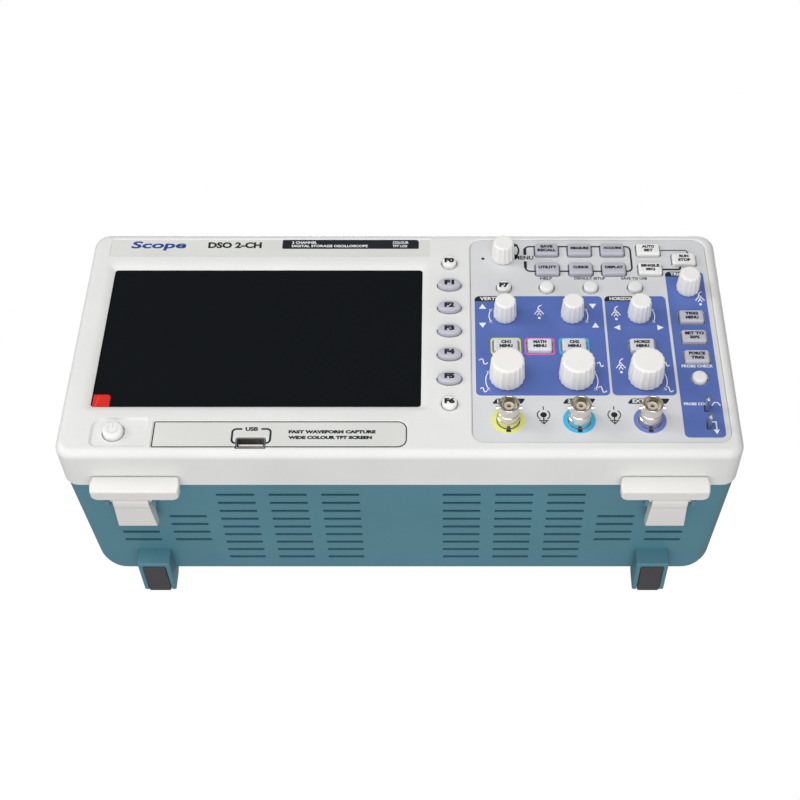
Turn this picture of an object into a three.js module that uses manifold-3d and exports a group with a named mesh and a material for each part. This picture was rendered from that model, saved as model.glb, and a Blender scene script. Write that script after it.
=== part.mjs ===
// Bench digital storage oscilloscope: white front bezel with a wide screen on the left and a control
// plate on the right, a teal rear shell, front foot bars with fold-out tilt legs, and a carry handle.
// Millimetres. While a piece is drawn, x runs to the right seen from the front, y runs backwards from
// the bezel's front face and z runs up from the bezel's lower edge. The last lines move the whole
// group so that z = 0 is the bench and y = 0 is the middle of the depth.
import * as THREE from 'three';
import { mergeVertices } from 'three/addons/utils/BufferGeometryUtils.js';
import Module from 'manifold-3d';

const wasm = await Module();
wasm.setup();

// ---------------------------------------------------------------- driving dimensions
const HALF_WIDTH = 157;
const BEZEL_HEIGHT = 138.5;
const BEZEL_DEPTH = 24.4;
const BEZEL_FILLET = 4;
const CORNER = 8;
const WALL = 2.5;
const GAP = 0.3;
const STAND = 8.6;

const SHELL_FRONT = BEZEL_DEPTH + GAP;
const SHELL_BACK = 103;
const SHELL_STEP = 0.8;
const SHELL_REAR_HALF = 152.3;
const SHELL_PLAN_RADIUS = 13;
const SHELL_EDGE_RADIUS = 6;
const BLOCK_BACK = 107;

const SCREEN = { x0: -143.7, x1: 9, z0: 29.3, z1: 114.3 };
const SCREEN_BEVEL = { x0: -148, x1: 14.2, z0: 25.1, z1: 119.5 };
const SCREEN_RECESS = 2.3;
const PLATE = { x0: 33, x1: 152, z0: 7, z1: 134 };
const PLATE_FACE = 0.6;
const PLATE_BACK = 3.1;
const LABEL = { x0: -113.1, x1: 3.6, z0: 4.2, z1: 19.4 };

const KEY_CLEARANCE = 0.35;
const KEY_PROUD = 2;
const KEY_BACK = 4.6;
const KEY_STEM_END = 8.9;
const BAR_KEY = { w: 11.6, h: 7.6 };
const ROUND_KEY_RADIUS = 3.5;
const OVAL_KEY = { w: 11.3, h: 6.8 };
const POWER_KEY_RADIUS = 4.7;
const POWER_RECESS = { x0: -141.8, x1: -114.8, z0: 4.4, z1: 21.4, depth: 0.9 };

const KEY_BOARD_FRONT = 10;
const BOARD_THICKNESS = 1.6;
const SHAFT_RADIUS = 3;
const LARGE_KNOB = { base: 8.5, top: 7.9, height: 12.8 };
const SMALL_KNOB = { base: 5.75, top: 5.15, height: 11 };
const MULTI_KNOB = { base: 5.9, top: 5.4, height: 10.4 };

const BNC = { front: -12, barrel: 4.83, bore: 4.05, collar: 5.2, insulator: 2.4 };
const USB = { x: -67.7, z: 6.9, w: 13.1, h: 5.7 };
const INLET = { x: -104, z: 36, w: 27.6, h: 19.6 };
const FAN = { x: 92, z: 76, size: 60, front: 84, back: 99 };
const REAR_USB = { x: 20, z: 34, w: 12.2, h: 11 };
const REAR_BNC = { x: 44, z: 34 };

const VENT = { width: 17.4, gap: 1.3, pitchX: 24.7, pitchY: 6.93, firstX: 28.6, firstY: 33.7 };
const HANDLE = { half: 66, pivotY: 40, gripY: 84, pocketHalf: 70, pocketFront: 33, pocketBack: 93 };
const HANDLE_POCKET_DEPTH = 10;
const FOOT = { x: 122, w: 40, front: 16.5, back: 24.5 };
const LEG = { x: 124.9, w: 18.5, axisY: 28.2, axisZ: -5.2, barrel: 3, end: 49.5, pin: 1.2 };
const REAR_FOOT = { x: 123.2, w: 15.9, front: 81, pad: 11, padFront: 84.5, padBack: 106.6 };
const TOP = BEZEL_HEIGHT - SHELL_STEP;

// Rows and columns of the control plate.
const ROW = {
  menuUpper: 126.4, run: 119.8, menuLower: 113.4, small: 101.5, level: 100.7, position: 83.3,
  channel: 64, scale: 45.2, socket: 20.1, multi: 122.1,
};
const COLUMN = {
  soft: 22.8, first: 49.8, math: 66, menu: 71.8, second: 82.5, third: 88.4, fourth: 104.9,
  horizontal: 115, auto: 123, trigger: 140.4,
};

// ---------------------------------------------------------------- materials
function finish(color, roughness, metalness = 0) {
  return new THREE.MeshStandardMaterial({ color, roughness, metalness });
}
const whitePlastic = finish(0xe9e8e3, 0.5);
const greyPlastic = finish(0xd6d8da, 0.5);
const tealPlastic = finish(0x567c87, 0.55);
const keyGrey = finish(0xb8bac6, 0.5);
const keyWhite = finish(0xe8e8e6, 0.5);
const darkGlass = finish(0x111316, 0.12);
const boardGreen = finish(0x1f5a3a, 0.6);
const steel = finish(0xb9bcc0, 0.35, 1);
const nickel = finish(0xc8c2b6, 0.3, 1);
const blackPlastic = finish(0x1c1d1f, 0.5);
const rubber = finish(0x3c3c3e, 0.85);

// ---------------------------------------------------------------- helpers
function solid(geometry) {
  const bare = geometry.clone();
  bare.deleteAttribute('normal');
  bare.deleteAttribute('uv');
  const merged = mergeVertices(bare, 1e-4);
  const corners = merged.index.array;
  const kept = [];
  for (let i = 0; i < corners.length; i += 3) {
    const [a, b, c] = [corners[i], corners[i + 1], corners[i + 2]];
    if (a !== b && b !== c && c !== a) kept.push(a, b, c);
  }
  const vertProperties = new Float32Array(merged.attributes.position.array);
  const triVerts = Uint32Array.from(kept);
  return new wasm.Manifold(new wasm.Mesh({ numProp: 3, vertProperties, triVerts }));
}

function piece(name, body, material) {
  const { vertProperties, triVerts } = body.getMesh();
  const geometry = new THREE.BufferGeometry();
  geometry.setAttribute('position', new THREE.BufferAttribute(vertProperties, 3));
  geometry.setIndex(new THREE.BufferAttribute(triVerts, 1));
  geometry.computeVertexNormals();
  const mesh = new THREE.Mesh(geometry, material);
  mesh.name = name;
  return mesh;
}

function joined(...bodies) {
  return bodies.reduce((sum, next) => sum.add(next));
}

function cut(body, ...tools) {
  return tools.reduce((rest, tool) => rest.subtract(tool), body);
}

function block(x0, x1, y0, y1, z0, z1) {
  const box = new THREE.BoxGeometry(x1 - x0, y1 - y0, z1 - z0);
  return solid(box.translate((x0 + x1) / 2, (y0 + y1) / 2, (z0 + z1) / 2));
}

function roundedOutline(w, h, r) {
  const [a, b] = [w / 2, h / 2];
  const shape = new THREE.Shape();
  shape.absarc(a - r, b - r, r, 0, Math.PI / 2);
  shape.absarc(r - a, b - r, r, Math.PI / 2, Math.PI);
  shape.absarc(r - a, r - b, r, Math.PI, 1.5 * Math.PI);
  shape.absarc(a - r, r - b, r, 1.5 * Math.PI, 2 * Math.PI);
  shape.closePath();
  return shape;
}

function ovalOutline(w, h) {
  const shape = new THREE.Shape();
  shape.absellipse(0, 0, w / 2, h / 2, 0, 2 * Math.PI);
  return shape;
}

// A flat outline in x and z, given thickness from y0 back to y1.
function slab(shape, x, z, y0, y1, curveSegments = 3) {
  const options = { depth: y1 - y0, bevelEnabled: false, curveSegments };
  const geometry = new THREE.ExtrudeGeometry(shape, options);
  return solid(geometry.rotateX(Math.PI / 2).translate(x, y1, z));
}

function frameSlab(area, r, y0, y1, grow = 0) {
  const w = area.x1 - area.x0 + 2 * grow;
  const h = area.z1 - area.z0 + 2 * grow;
  return slab(roundedOutline(w, h, r), (area.x0 + area.x1) / 2, (area.z0 + area.z1) / 2, y0, y1);
}

// A turned piece about an axis along y: the profile lists [radius, y] from the front to the back.
function turned(profile, x, z, segments = 20) {
  const points = profile.map(([r, y]) => new THREE.Vector2(r, y));
  return solid(new THREE.LatheGeometry(points, segments).translate(x, 0, z));
}

function rod(r, y0, y1, x, z, segments = 12) {
  return turned([[0, y0], [r, y0], [r, y1], [0, y1]], x, z, segments);
}

// A round bar along x.
function crossBar(r, x0, x1, y, z, segments = 12) {
  const bar = new THREE.CylinderGeometry(r, r, x1 - x0, segments);
  return solid(bar.rotateZ(Math.PI / 2).translate((x0 + x1) / 2, y, z));
}

// A side outline in y and z, given width along x.
function sideSlab(points, x0, x1) {
  const shape = new THREE.Shape(points.map(([y, z]) => new THREE.Vector2(y, z)));
  const geometry = new THREE.ExtrudeGeometry(shape, { depth: x1 - x0, bevelEnabled: false });
  const turn = new THREE.Matrix4().makeBasis(
    new THREE.Vector3(0, 1, 0), new THREE.Vector3(0, 0, 1), new THREE.Vector3(1, 0, 0));
  return solid(geometry.applyMatrix4(turn).translate(x0, 0, 0));
}

// Rounded rectangles one behind the other, skinned into one closed body.
const ARC_STEPS = 4;
function ring({ y, x0, x1, z0, z1, r }) {
  const centres = [[x1 - r, z1 - r, 0], [x0 + r, z1 - r, 1], [x0 + r, z0 + r, 2], [x1 - r, z0 + r, 3]];
  const points = [];
  for (const [cx, cz, quarter] of centres) {
    for (let i = 0; i <= ARC_STEPS; i += 1) {
      const angle = (quarter + i / ARC_STEPS) * (Math.PI / 2);
      points.push([cx + r * Math.cos(angle), y, cz + r * Math.sin(angle)]);
    }
  }
  return points;
}

function skinned(sections) {
  const rings = sections.map(ring);
  const n = rings[0].length;
  const index = [];
  for (let k = 0; k + 1 < rings.length; k += 1) {
    for (let i = 0; i < n; i += 1) {
      const [a, b] = [k * n + i, k * n + ((i + 1) % n)];
      index.push(a, a + n, b, b, a + n, b + n);
    }
  }
  const last = (rings.length - 1) * n;
  for (let i = 1; i + 1 < n; i += 1) {
    index.push(0, i, i + 1);
    index.push(last, last + i + 1, last + i);
  }
  const geometry = new THREE.BufferGeometry();
  geometry.setAttribute('position', new THREE.Float32BufferAttribute(rings.flat(2), 3));
  geometry.setIndex(index);
  return solid(geometry);
}

// ---------------------------------------------------------------- casing
function bezelSection(y, inset) {
  const r = Math.max(CORNER - inset, 1);
  const half = HALF_WIDTH - inset;
  return { y, x0: -half, x1: half, z0: inset, z1: BEZEL_HEIGHT - inset, r };
}

function bezelOuter() {
  const sections = [];
  for (let i = 0; i <= 3; i += 1) {
    const angle = (i / 3) * (Math.PI / 2);
    const inset = BEZEL_FILLET * (1 - Math.sin(angle));
    sections.push(bezelSection(BEZEL_FILLET * (1 - Math.cos(angle)), inset));
  }
  sections.push(bezelSection(BEZEL_DEPTH, 0));
  return skinned(sections);
}

function screenCut() {
  const before = 0.2;
  const slope = 1 + before / SCREEN_RECESS;
  const grown = {};
  for (const side of ['x0', 'x1', 'z0', 'z1']) {
    grown[side] = SCREEN[side] + (SCREEN_BEVEL[side] - SCREEN[side]) * slope;
  }
  return skinned([
    { y: -before, ...grown, r: 2 },
    { y: SCREEN_RECESS, ...SCREEN, r: 1.2 },
    { y: WALL + 1, ...SCREEN, r: 1.2 },
  ]);
}

function keyOutline(form, grow = 0) {
  if (form === 'round') return ovalOutline(2 * (ROUND_KEY_RADIUS + grow), 2 * (ROUND_KEY_RADIUS + grow));
  if (form === 'power') return ovalOutline(2 * (POWER_KEY_RADIUS + grow), 2 * (POWER_KEY_RADIUS + grow));
  if (form === 'oval') return ovalOutline(OVAL_KEY.w + 2 * grow, OVAL_KEY.h + 2 * grow);
  return roundedOutline(BAR_KEY.w + 2 * grow, BAR_KEY.h + 2 * grow, 1.2 + grow);
}

function keySegments(form) {
  return form === 'bar' ? 2 : 8;
}

const bezelKeys = [{ name: 'power_button', form: 'power', x: -131, z: 13.3 }];
const SOFT_PITCH = 14.72;
for (let i = 0; i <= 6; i += 1) {
  const form = i === 0 || i === 6 ? 'round' : 'oval';
  bezelKeys.push({ name: `soft_key_f${i}`, form, x: COLUMN.soft, z: 117.5 - i * SOFT_PITCH });
}

const plateKeys = [
  { name: 'key_f7', form: 'round', x: COLUMN.first, z: ROW.small },
  { name: 'key_help', form: 'round', x: 70.9, z: ROW.small },
  { name: 'key_default_setup', form: 'round', x: 92.6, z: ROW.small },
  { name: 'key_save_to_usb', form: 'round', x: 114.6, z: ROW.small },
  { name: 'key_save_recall', form: 'bar', x: COLUMN.menu, z: ROW.menuUpper },
  { name: 'key_measure', form: 'bar', x: COLUMN.third, z: ROW.menuUpper },
  { name: 'key_acquire', form: 'bar', x: COLUMN.fourth, z: ROW.menuUpper },
  { name: 'key_utility', form: 'bar', x: COLUMN.menu, z: ROW.menuLower },
  { name: 'key_cursor', form: 'bar', x: COLUMN.third, z: ROW.menuLower },
  { name: 'key_display', form: 'bar', x: COLUMN.fourth, z: ROW.menuLower },
  { name: 'key_auto_set', form: 'bar', x: COLUMN.auto, z: ROW.menuUpper },
  { name: 'key_single', form: 'bar', x: COLUMN.auto, z: ROW.menuLower },
  { name: 'key_run_stop', form: 'bar', x: COLUMN.trigger, z: ROW.run },
  { name: 'key_channel_1', form: 'bar', x: COLUMN.first, z: ROW.channel },
  { name: 'key_math', form: 'bar', x: COLUMN.math, z: ROW.channel },
  { name: 'key_channel_2', form: 'bar', x: COLUMN.second, z: ROW.channel },
  { name: 'key_horizontal', form: 'bar', x: COLUMN.horizontal, z: ROW.channel },
  { name: 'key_trigger_menu', form: 'bar', x: COLUMN.trigger, z: 81.9 },
  { name: 'key_set_half', form: 'bar', x: COLUMN.trigger, z: 69.4 },
  { name: 'key_force_trigger', form: 'bar', x: COLUMN.trigger, z: 56.9 },
  { name: 'key_probe_check', form: 'round', x: COLUMN.trigger, z: 44.6 },
];

const knobs = [
  { name: 'knob_multi_purpose', size: MULTI_KNOB, x: COLUMN.first, z: ROW.multi },
  { name: 'knob_position_1', size: SMALL_KNOB, x: COLUMN.first, z: ROW.position },
  { name: 'knob_position_2', size: SMALL_KNOB, x: COLUMN.second, z: ROW.position },
  { name: 'knob_position_horizontal', size: SMALL_KNOB, x: COLUMN.horizontal, z: ROW.position },
  { name: 'knob_trigger_level', size: SMALL_KNOB, x: COLUMN.trigger, z: ROW.level },
  { name: 'knob_scale_1', size: LARGE_KNOB, x: COLUMN.first, z: ROW.scale },
  { name: 'knob_scale_2', size: LARGE_KNOB, x: COLUMN.second, z: ROW.scale },
  { name: 'knob_scale_horizontal', size: LARGE_KNOB, x: COLUMN.horizontal, z: ROW.scale },
];

const sockets = [
  { name: 'bnc_channel_1', x: COLUMN.first },
  { name: 'bnc_channel_2', x: COLUMN.second },
  { name: 'bnc_ext_trigger', x: COLUMN.horizontal },
];

function keyHole({ form, x, z }, y0, y1) {
  return slab(keyOutline(form, KEY_CLEARANCE), x, z, y0, y1, keySegments(form));
}

function frontBezel() {
  const inner = skinned([
    { ...bezelSection(WALL, WALL), r: CORNER - WALL },
    { ...bezelSection(BEZEL_DEPTH + 1, WALL), r: CORNER - WALL },
  ]);
  const openings = [screenCut(), frameSlab(PLATE, 6, -1, WALL + 1)];
  for (const key of bezelKeys) openings.push(keyHole(key, -1, WALL + 1));
  openings.push(frameSlab(POWER_RECESS, 4, -1, POWER_RECESS.depth));
  openings.push(frameSlab(LABEL, 2, -1, 0.4));
  const port = roundedOutline(USB.w + 0.6, USB.h + 0.6, 0.5);
  openings.push(slab(port, USB.x, USB.z, -1, WALL + 1, 1));
  return piece('front_bezel', cut(bezelOuter(), inner, ...openings), whitePlastic);
}

// The sides draw in towards the back, and the rear corners are rounder in plan than in height.
function shellSection(y, inset) {
  const t = (y - SHELL_FRONT) / (SHELL_BACK - SHELL_FRONT);
  const half = HALF_WIDTH - 0.6 + (SHELL_REAR_HALF - HALF_WIDTH + 0.6) * t;
  const turn = (radius) => {
    const past = Math.max(0, y - (SHELL_BACK - radius));
    return radius - Math.sqrt(radius * radius - past * past);
  };
  const side = inset + turn(SHELL_PLAN_RADIUS);
  const edge = inset + turn(SHELL_EDGE_RADIUS);
  const r = Math.max(CORNER - inset, 2);
  return { x0: side - half, x1: half - side, z0: SHELL_STEP + edge, z1: TOP - edge, r };
}

function shellBody(inset, front, back) {
  const depths = [front, SHELL_BACK - SHELL_PLAN_RADIUS];
  for (const share of [0.5, 0.8, 0.95, 1]) {
    depths.push(SHELL_BACK - SHELL_PLAN_RADIUS + SHELL_PLAN_RADIUS * share);
  }
  return skinned(depths.map((y) => ({ ...shellSection(y, inset), y: Math.min(y, back) })));
}

function shellCavity() {
  const depths = [SHELL_FRONT - 1, 90, 96, SHELL_BACK - WALL];
  return skinned(depths.map((y) => ({ ...shellSection(Math.min(y + WALL, SHELL_BACK - 0.4), WALL), y })));
}

function ventSlot(x, y) {
  return block(x - VENT.width / 2, x + VENT.width / 2, y - VENT.gap / 2, y + VENT.gap / 2, -1, 5);
}

// Floor vents: three full columns, a short one and a shorter one beside the tilt leg, on each side.
function floorVents() {
  const slots = [];
  for (const side of [-1, 1]) {
    for (let column = 0; column < 5; column += 1) {
      const count = [9, 9, 9, 4, 3][column];
      const start = [VENT.firstY, VENT.firstY, VENT.firstY, 52.2, 59.1][column];
      const x = side * (VENT.firstX + column * VENT.pitchX);
      for (let row = 0; row < count; row += 1) slots.push(ventSlot(x, start + row * VENT.pitchY));
    }
  }
  return slots;
}

function rearOpenings() {
  const back = [SHELL_BACK - 6, SHELL_BACK + 2];
  const slots = [];
  for (let i = -4; i <= 4; i += 1) {
    const reach = Math.sqrt(27 * 27 - 36 * i * i);
    slots.push(block(FAN.x - reach, FAN.x + reach, ...back, FAN.z + 6 * i - 1.3, FAN.z + 6 * i + 1.3));
  }
  const inlet = roundedOutline(INLET.w + 0.6, INLET.h + 0.6, 2);
  slots.push(slab(inlet, INLET.x, INLET.z, ...back, 1));
  const usb = roundedOutline(REAR_USB.w + 0.6, REAR_USB.h + 0.6, 1);
  slots.push(slab(usb, REAR_USB.x, REAR_USB.z, ...back, 1));
  slots.push(rod(5.3, ...back, REAR_BNC.x, REAR_BNC.z, 16));
  return slots;
}

function handlePocket(grow) {
  const { pocketHalf: half, pocketFront: front, pocketBack: back } = HANDLE;
  const floor = TOP - HANDLE_POCKET_DEPTH - grow;
  return block(-half - grow, half + grow, front - grow, back + grow, floor, TOP + 5);
}

function legEars(x) {
  const reach = LEG.w / 2 + 0.6;
  const outline = [[25, 2], [25, -4], [26.4, -8], [30.4, -8], [33, 2]];
  const ears = joined(
    sideSlab(outline, x - reach - 2, x - reach),
    sideSlab(outline, x + reach, x + reach + 2));
  return cut(ears, crossBar(LEG.pin + GAP, x - reach - 3, x + reach + 3, LEG.axisY, LEG.axisZ));
}

function rearFootBlock(x) {
  const outline = [
    [REAR_FOOT.front, 3], [REAR_FOOT.front + 1.2, 0.6 - STAND], [BLOCK_BACK - 1, 0.6 - STAND],
    [BLOCK_BACK, 1 - STAND], [BLOCK_BACK, 2], [BLOCK_BACK - 5, 12], [SHELL_BACK - 12, 3],
  ];
  const body = sideSlab(outline, x - REAR_FOOT.w / 2, x + REAR_FOOT.w / 2);
  return cut(body, padSeat(x));
}

function padSeat(x) {
  const half = REAR_FOOT.pad / 2 + GAP;
  return block(x - half, x + half, REAR_FOOT.padFront - GAP, BLOCK_BACK + 1, -STAND - 1, 2.4 - STAND);
}

function rearShell() {
  const pocketWalls = handlePocket(WALL);
  const cavity = cut(shellCavity(), pocketWalls);
  const pin = crossBar(2.3, -HANDLE.pocketHalf - 4, HANDLE.pocketHalf + 4, HANDLE.pivotY, TOP - 5);
  const hollow = cut(shellBody(0, SHELL_FRONT, SHELL_BACK), cavity, handlePocket(0), pin);
  const body = cut(hollow, ...floorVents(), ...rearOpenings());
  const feet = [-1, 1].flatMap((side) => [
    rearFootBlock(side * REAR_FOOT.x).subtract(cavity),
    legEars(side * LEG.x).subtract(cavity),
  ]);
  return piece('rear_shell', joined(body, ...feet), tealPlastic);
}

// ---------------------------------------------------------------- front of the instrument
function displayWindow() {
  return piece('display_window', frameSlab(SCREEN, 2, SCREEN_RECESS + 0.5, 4, 2.5), darkGlass);
}

function lcdModule() {
  const body = frameSlab({ x0: -149, x1: 14, z0: 24.5, z1: 119 }, 1, 4 + GAP, 10.3);
  const connector = block(-100, -60, 10, 12.5, 30, 36);
  return piece('lcd_module', joined(body, connector), steel);
}

const PROBE = { x: 141.6, z0: 14, z1: 30 };

function controlPlate() {
  const holes = plateKeys.map((key) => keyHole(key, -1, 5));
  for (const { x, z } of knobs) holes.push(rod(SHAFT_RADIUS + 0.6, -1, 5, x, z, 12));
  for (const { x } of sockets) holes.push(rod(BNC.collar + GAP, -1, 5, x, ROW.socket, 16));
  for (const z of [PROBE.z0 + 3, PROBE.z1 - 3]) {
    holes.push(block(PROBE.x - 1, PROBE.x + 1, -1, 5, z - 2.3, z + 2.3));
  }
  const panel = frameSlab(PLATE, 5.7, PLATE_FACE, PLATE_BACK, -GAP);
  return piece('control_plate', cut(panel, ...holes), greyPlastic);
}

// A key is a cap in the hole, a flange behind the wall that stops it falling out, and a stem.
function key({ name, form, x, z }, front, wallBack) {
  const grown = form === 'bar' ? 0.9 : 1;
  const cap = slab(keyOutline(form), x, z, front, KEY_BACK, keySegments(form));
  const flange = keyOutline(form, grown);
  const skirt = slab(flange, x, z, wallBack + GAP, KEY_BACK, form === 'bar' ? 1 : 4);
  const stem = block(x - 1.5, x + 1.5, KEY_BACK - 1, KEY_STEM_END, z - 1.5, z + 1.5);
  return joined(cap, skirt, stem);
}

function keyMaterial(name) {
  const whiteKeys = /f0|f6|f7|help|default|save_to|auto|single|run|probe|power/;
  return whiteKeys.test(name) ? keyWhite : keyGrey;
}

function allKeys() {
  const onBezel = bezelKeys.map((k) => piece(k.name, key(k, -KEY_PROUD, WALL), keyMaterial(k.name)));
  const onPlate = plateKeys.map((k) => piece(
    k.name, key(k, PLATE_FACE - KEY_PROUD, PLATE_BACK), keyMaterial(k.name)));
  return [...onBezel, ...onPlate];
}

function knob({ name, size, x, z }) {
  const front = -size.height;
  const bore = SHAFT_RADIUS + GAP;
  const profile = [
    [0, front], [size.top - 0.6, front], [size.top, front + 0.6], [size.base, PLATE_FACE - GAP],
    [bore, PLATE_FACE - GAP], [bore, front + 3], [0, front + 3],
  ];
  return piece(name, turned(profile, x, z), keyWhite);
}

// The key board carries the rotary encoders; it stays above the sockets and reaches down beside them.
function keyBoard() {
  const front = KEY_BOARD_FRONT;
  const outline = new THREE.Shape();
  const corners = [[16, 30], [128, 30], [128, 9.5], [150.5, 9.5], [150.5, 132], [16, 132]];
  corners.forEach(([x, z], i) => (i ? outline.lineTo(x, z) : outline.moveTo(x, z)));
  outline.closePath();
  const parts = [slab(outline, 0, 0, front, front + BOARD_THICKNESS)];
  for (const { x, z, size } of knobs) {
    parts.push(block(x - 6, x + 6, PLATE_BACK + GAP, front + 0.1, z - 6, z + 6));
    parts.push(rod(SHAFT_RADIUS, 3.3 - size.height, PLATE_BACK + 1, x, z, 10));
  }
  return piece('key_board', joined(...parts), boardGreen);
}

// A coaxial bayonet socket: hollow barrel with two lugs, insulator with its contact hole, square back.
function bnc(name, x, z) {
  const { front, barrel, bore, collar, insulator } = BNC;
  const back = PLATE_BACK + 0.6;
  const shell = turned([
    [bore, front], [barrel, front], [barrel, -2], [collar, -2], [collar, back], [bore, back],
    [bore, front],
  ], x, z, 16);
  const floor = rod(bore + 0.2, -4.5, back, x, z, 16);
  const core = turned([
    [0, front + 2.6], [1, front + 2.6], [1, front + 1.6], [insulator, front + 1.6], [insulator, -4],
    [0, -4],
  ], x, z, 12);
  const lugs = cut(
    crossBar(0.95, x - 5.9, x + 5.9, front + 3.4, z, 8), rod(bore + 0.4, front, 0, x, z, 16));
  const housing = block(x - 6.2, x + 6.2, PLATE_BACK + GAP, 17.4, z - 6.2, z + 6.2);
  return piece(name, joined(shell, floor, core, lugs, housing), nickel);
}

function usbHostPort() {
  const { x, z, w, h } = USB;
  const can = block(x - w / 2, x + w / 2, 0.3, 13, z - h / 2, z + h / 2);
  const mouth = block(x - w / 2 + 0.4, x + w / 2 - 0.4, -1, 11.5, z - h / 2 + 0.4, z + h / 2 - 0.4);
  const tongue = block(x - 5.6, x + 5.6, 1.6, 12, z - 1.9, z + 0.1);
  return piece('usb_host_port', joined(cut(can, mouth), tongue), steel);
}

function probeTerminals() {
  const { x, z0, z1 } = PROBE;
  const base = block(x - 3, x + 3, 5, KEY_BOARD_FRONT - GAP, z0 - 1, z1 + 1);
  const tabs = [z0 + 3, z1 - 3].map((z) => {
    const tab = block(x - 0.6, x + 0.6, -8, 6, z - 1.9, z + 1.9);
    return tab.subtract(crossBar(0.9, x - 2, x + 2, -5.6, z, 10));
  });
  return piece('probe_terminals', joined(base, ...tabs), steel);
}

// ---------------------------------------------------------------- inside the case
function mainBoard() {
  const board = block(-142, 146, 30, 30 + BOARD_THICKNESS, 8, 124);
  const can = block(34, 130, 17.8, 30.2, 9, 62);
  const inside = block(35, 129, 18.8, 30, 10, 61);
  const window = block(60, 104, 17, 19.4, 38, 56);
  const processor = block(-60, -32, 26.5, 30.2, 70, 98);
  const memory = [0, 18, 36].map((x) => block(x - 14, x, 28.6, 30.2, 76, 92));
  return piece('main_board', joined(board, cut(can, inside, window), processor, ...memory), boardGreen);
}

function powerSupply() {
  const board = block(-142, -22, 74, 74 + BOARD_THICKNESS, 12, 118);
  const transformer = block(-84, -48, 46, 74.2, 60, 92);
  const core = block(-78, -54, 44, 48, 66, 86);
  const heatSink = block(-132, -128, 40, 74.2, 66, 110);
  const fins = [0, 1, 2, 3].map((i) => block(-128.2, -118, 42 + 8 * i, 44 + 8 * i, 66, 110));
  const capacitors = [-112, -96].map((x) => rod(6.5, 48, 74.2, x, 30, 14));
  const { x, z, w, h } = INLET;
  const inlet = slab(roundedOutline(w, h, 1.8), x, z, 75, SHELL_BACK + 0.6, 1);
  const cavity = slab(roundedOutline(w - 3, h - 3, 1.5), x, z, 88, SHELL_BACK + 2, 1);
  const pins = [[-7, -2], [0, 2.5], [7, -2]].map(([dx, dz]) => (
    block(x + dx - 1, x + dx + 1, 87, 98.4, z + dz - 2, z + dz + 2)));
  const socket = joined(cut(inlet, cavity), ...pins);
  const parts = [board, transformer, core, heatSink, ...fins, ...capacitors, socket];
  return piece('power_supply', joined(...parts), blackPlastic);
}

function fanFrame() {
  const { x, z, size, front, back } = FAN;
  const frame = slab(roundedOutline(size, size, 4), x, z, front, back, 2);
  const duct = rod(28.4, front - 1, back + 1, x, z, 28);
  const hub = rod(11, front + 1, front + 3, x, z, 16);
  const struts = [
    block(x - 29, x + 29, front + 1, front + 3, z - 1.2, z + 1.2),
    block(x - 1.2, x + 1.2, front + 1, front + 3, z - 29, z + 29),
  ];
  return piece('fan_frame', joined(cut(frame, duct), hub, ...struts), blackPlastic);
}

function fanRotor() {
  const { x, z, front, back } = FAN;
  const hub = rod(11, front + 3.4, back - 1, x, z, 20);
  const blades = [];
  for (let i = 0; i < 7; i += 1) {
    const blade = new THREE.BoxGeometry(17.4, 1.4, 11);
    blade.translate(18.4, 0, 0).rotateX(0.6);
    blade.rotateY((i / 7) * 2 * Math.PI).translate(x, (front + back) / 2 + 1.2, z);
    blades.push(solid(blade));
  }
  return piece('fan_rotor', joined(hub, ...blades), blackPlastic);
}

function rearIoBoard() {
  const board = block(8, 56, 84, 84 + BOARD_THICKNESS, 20, 48);
  const { x, z, w, h } = REAR_USB;
  const port = block(x - w / 2, x + w / 2, 85, SHELL_BACK + GAP, z - h / 2, z + h / 2);
  const rim = 1.3;
  const mouth = block(
    x - w / 2 + rim, x + w / 2 - rim, 94, SHELL_BACK + 2, z - h / 2 + rim, z + h / 2 - rim);
  const tongue = block(x - 2.8, x + 2.8, 93, 101, z - 1.6, z + 1.6);
  const socketZ = REAR_BNC.z;
  const barrel = rod(BNC.barrel, 85, SHELL_BACK + 3, REAR_BNC.x, socketZ, 16);
  const bore = rod(BNC.bore, SHELL_BACK - 5, SHELL_BACK + 4, REAR_BNC.x, socketZ, 16);
  const core = rod(BNC.insulator, SHELL_BACK - 6, SHELL_BACK + 2, REAR_BNC.x, socketZ, 12);
  return piece('rear_io_board', joined(
    board, cut(port, mouth), tongue, cut(barrel, bore), core), boardGreen);
}

// ---------------------------------------------------------------- feet and handle
function frontFoot(name, x) {
  const [half, low] = [FOOT.w / 2, -STAND];
  const outline = new THREE.Shape();
  const corners = [
    [-half, -GAP], [-half - 0.6, -5], [-half + 0.6, low + 1], [2 - half, low], [half - 2, low],
    [half - 0.6, low + 1], [half + 0.6, -5], [half, -GAP],
  ];
  corners.forEach(([u, v], i) => (i ? outline.lineTo(u, v) : outline.moveTo(u, v)));
  outline.closePath();
  return piece(name, slab(outline, x, 0, FOOT.front, FOOT.back - GAP), whitePlastic);
}

function tiltLeg(name, x) {
  const { axisY: y, axisZ: z, barrel: r, w, end } = LEG;
  const arm = sideSlab([
    [y, z - r], [end - 1.5, -7.2], [end, -6], [end, -2.8], [end - 8, -1.6], [y, z + r],
  ], x - w / 2, x + w / 2);
  const barrel = crossBar(r, x - w / 2, x + w / 2, y, z, 14);
  const pins = crossBar(LEG.pin, x - w / 2 - 2.4, x + w / 2 + 2.4, y, z, 10);
  return piece(name, joined(arm, barrel, pins), whitePlastic);
}

function rearPad(name, x) {
  const half = REAR_FOOT.pad / 2;
  const { padFront, padBack } = REAR_FOOT;
  return piece(name, block(x - half, x + half, padFront, padBack, -STAND, 2.4 - STAND - GAP), rubber);
}

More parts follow.
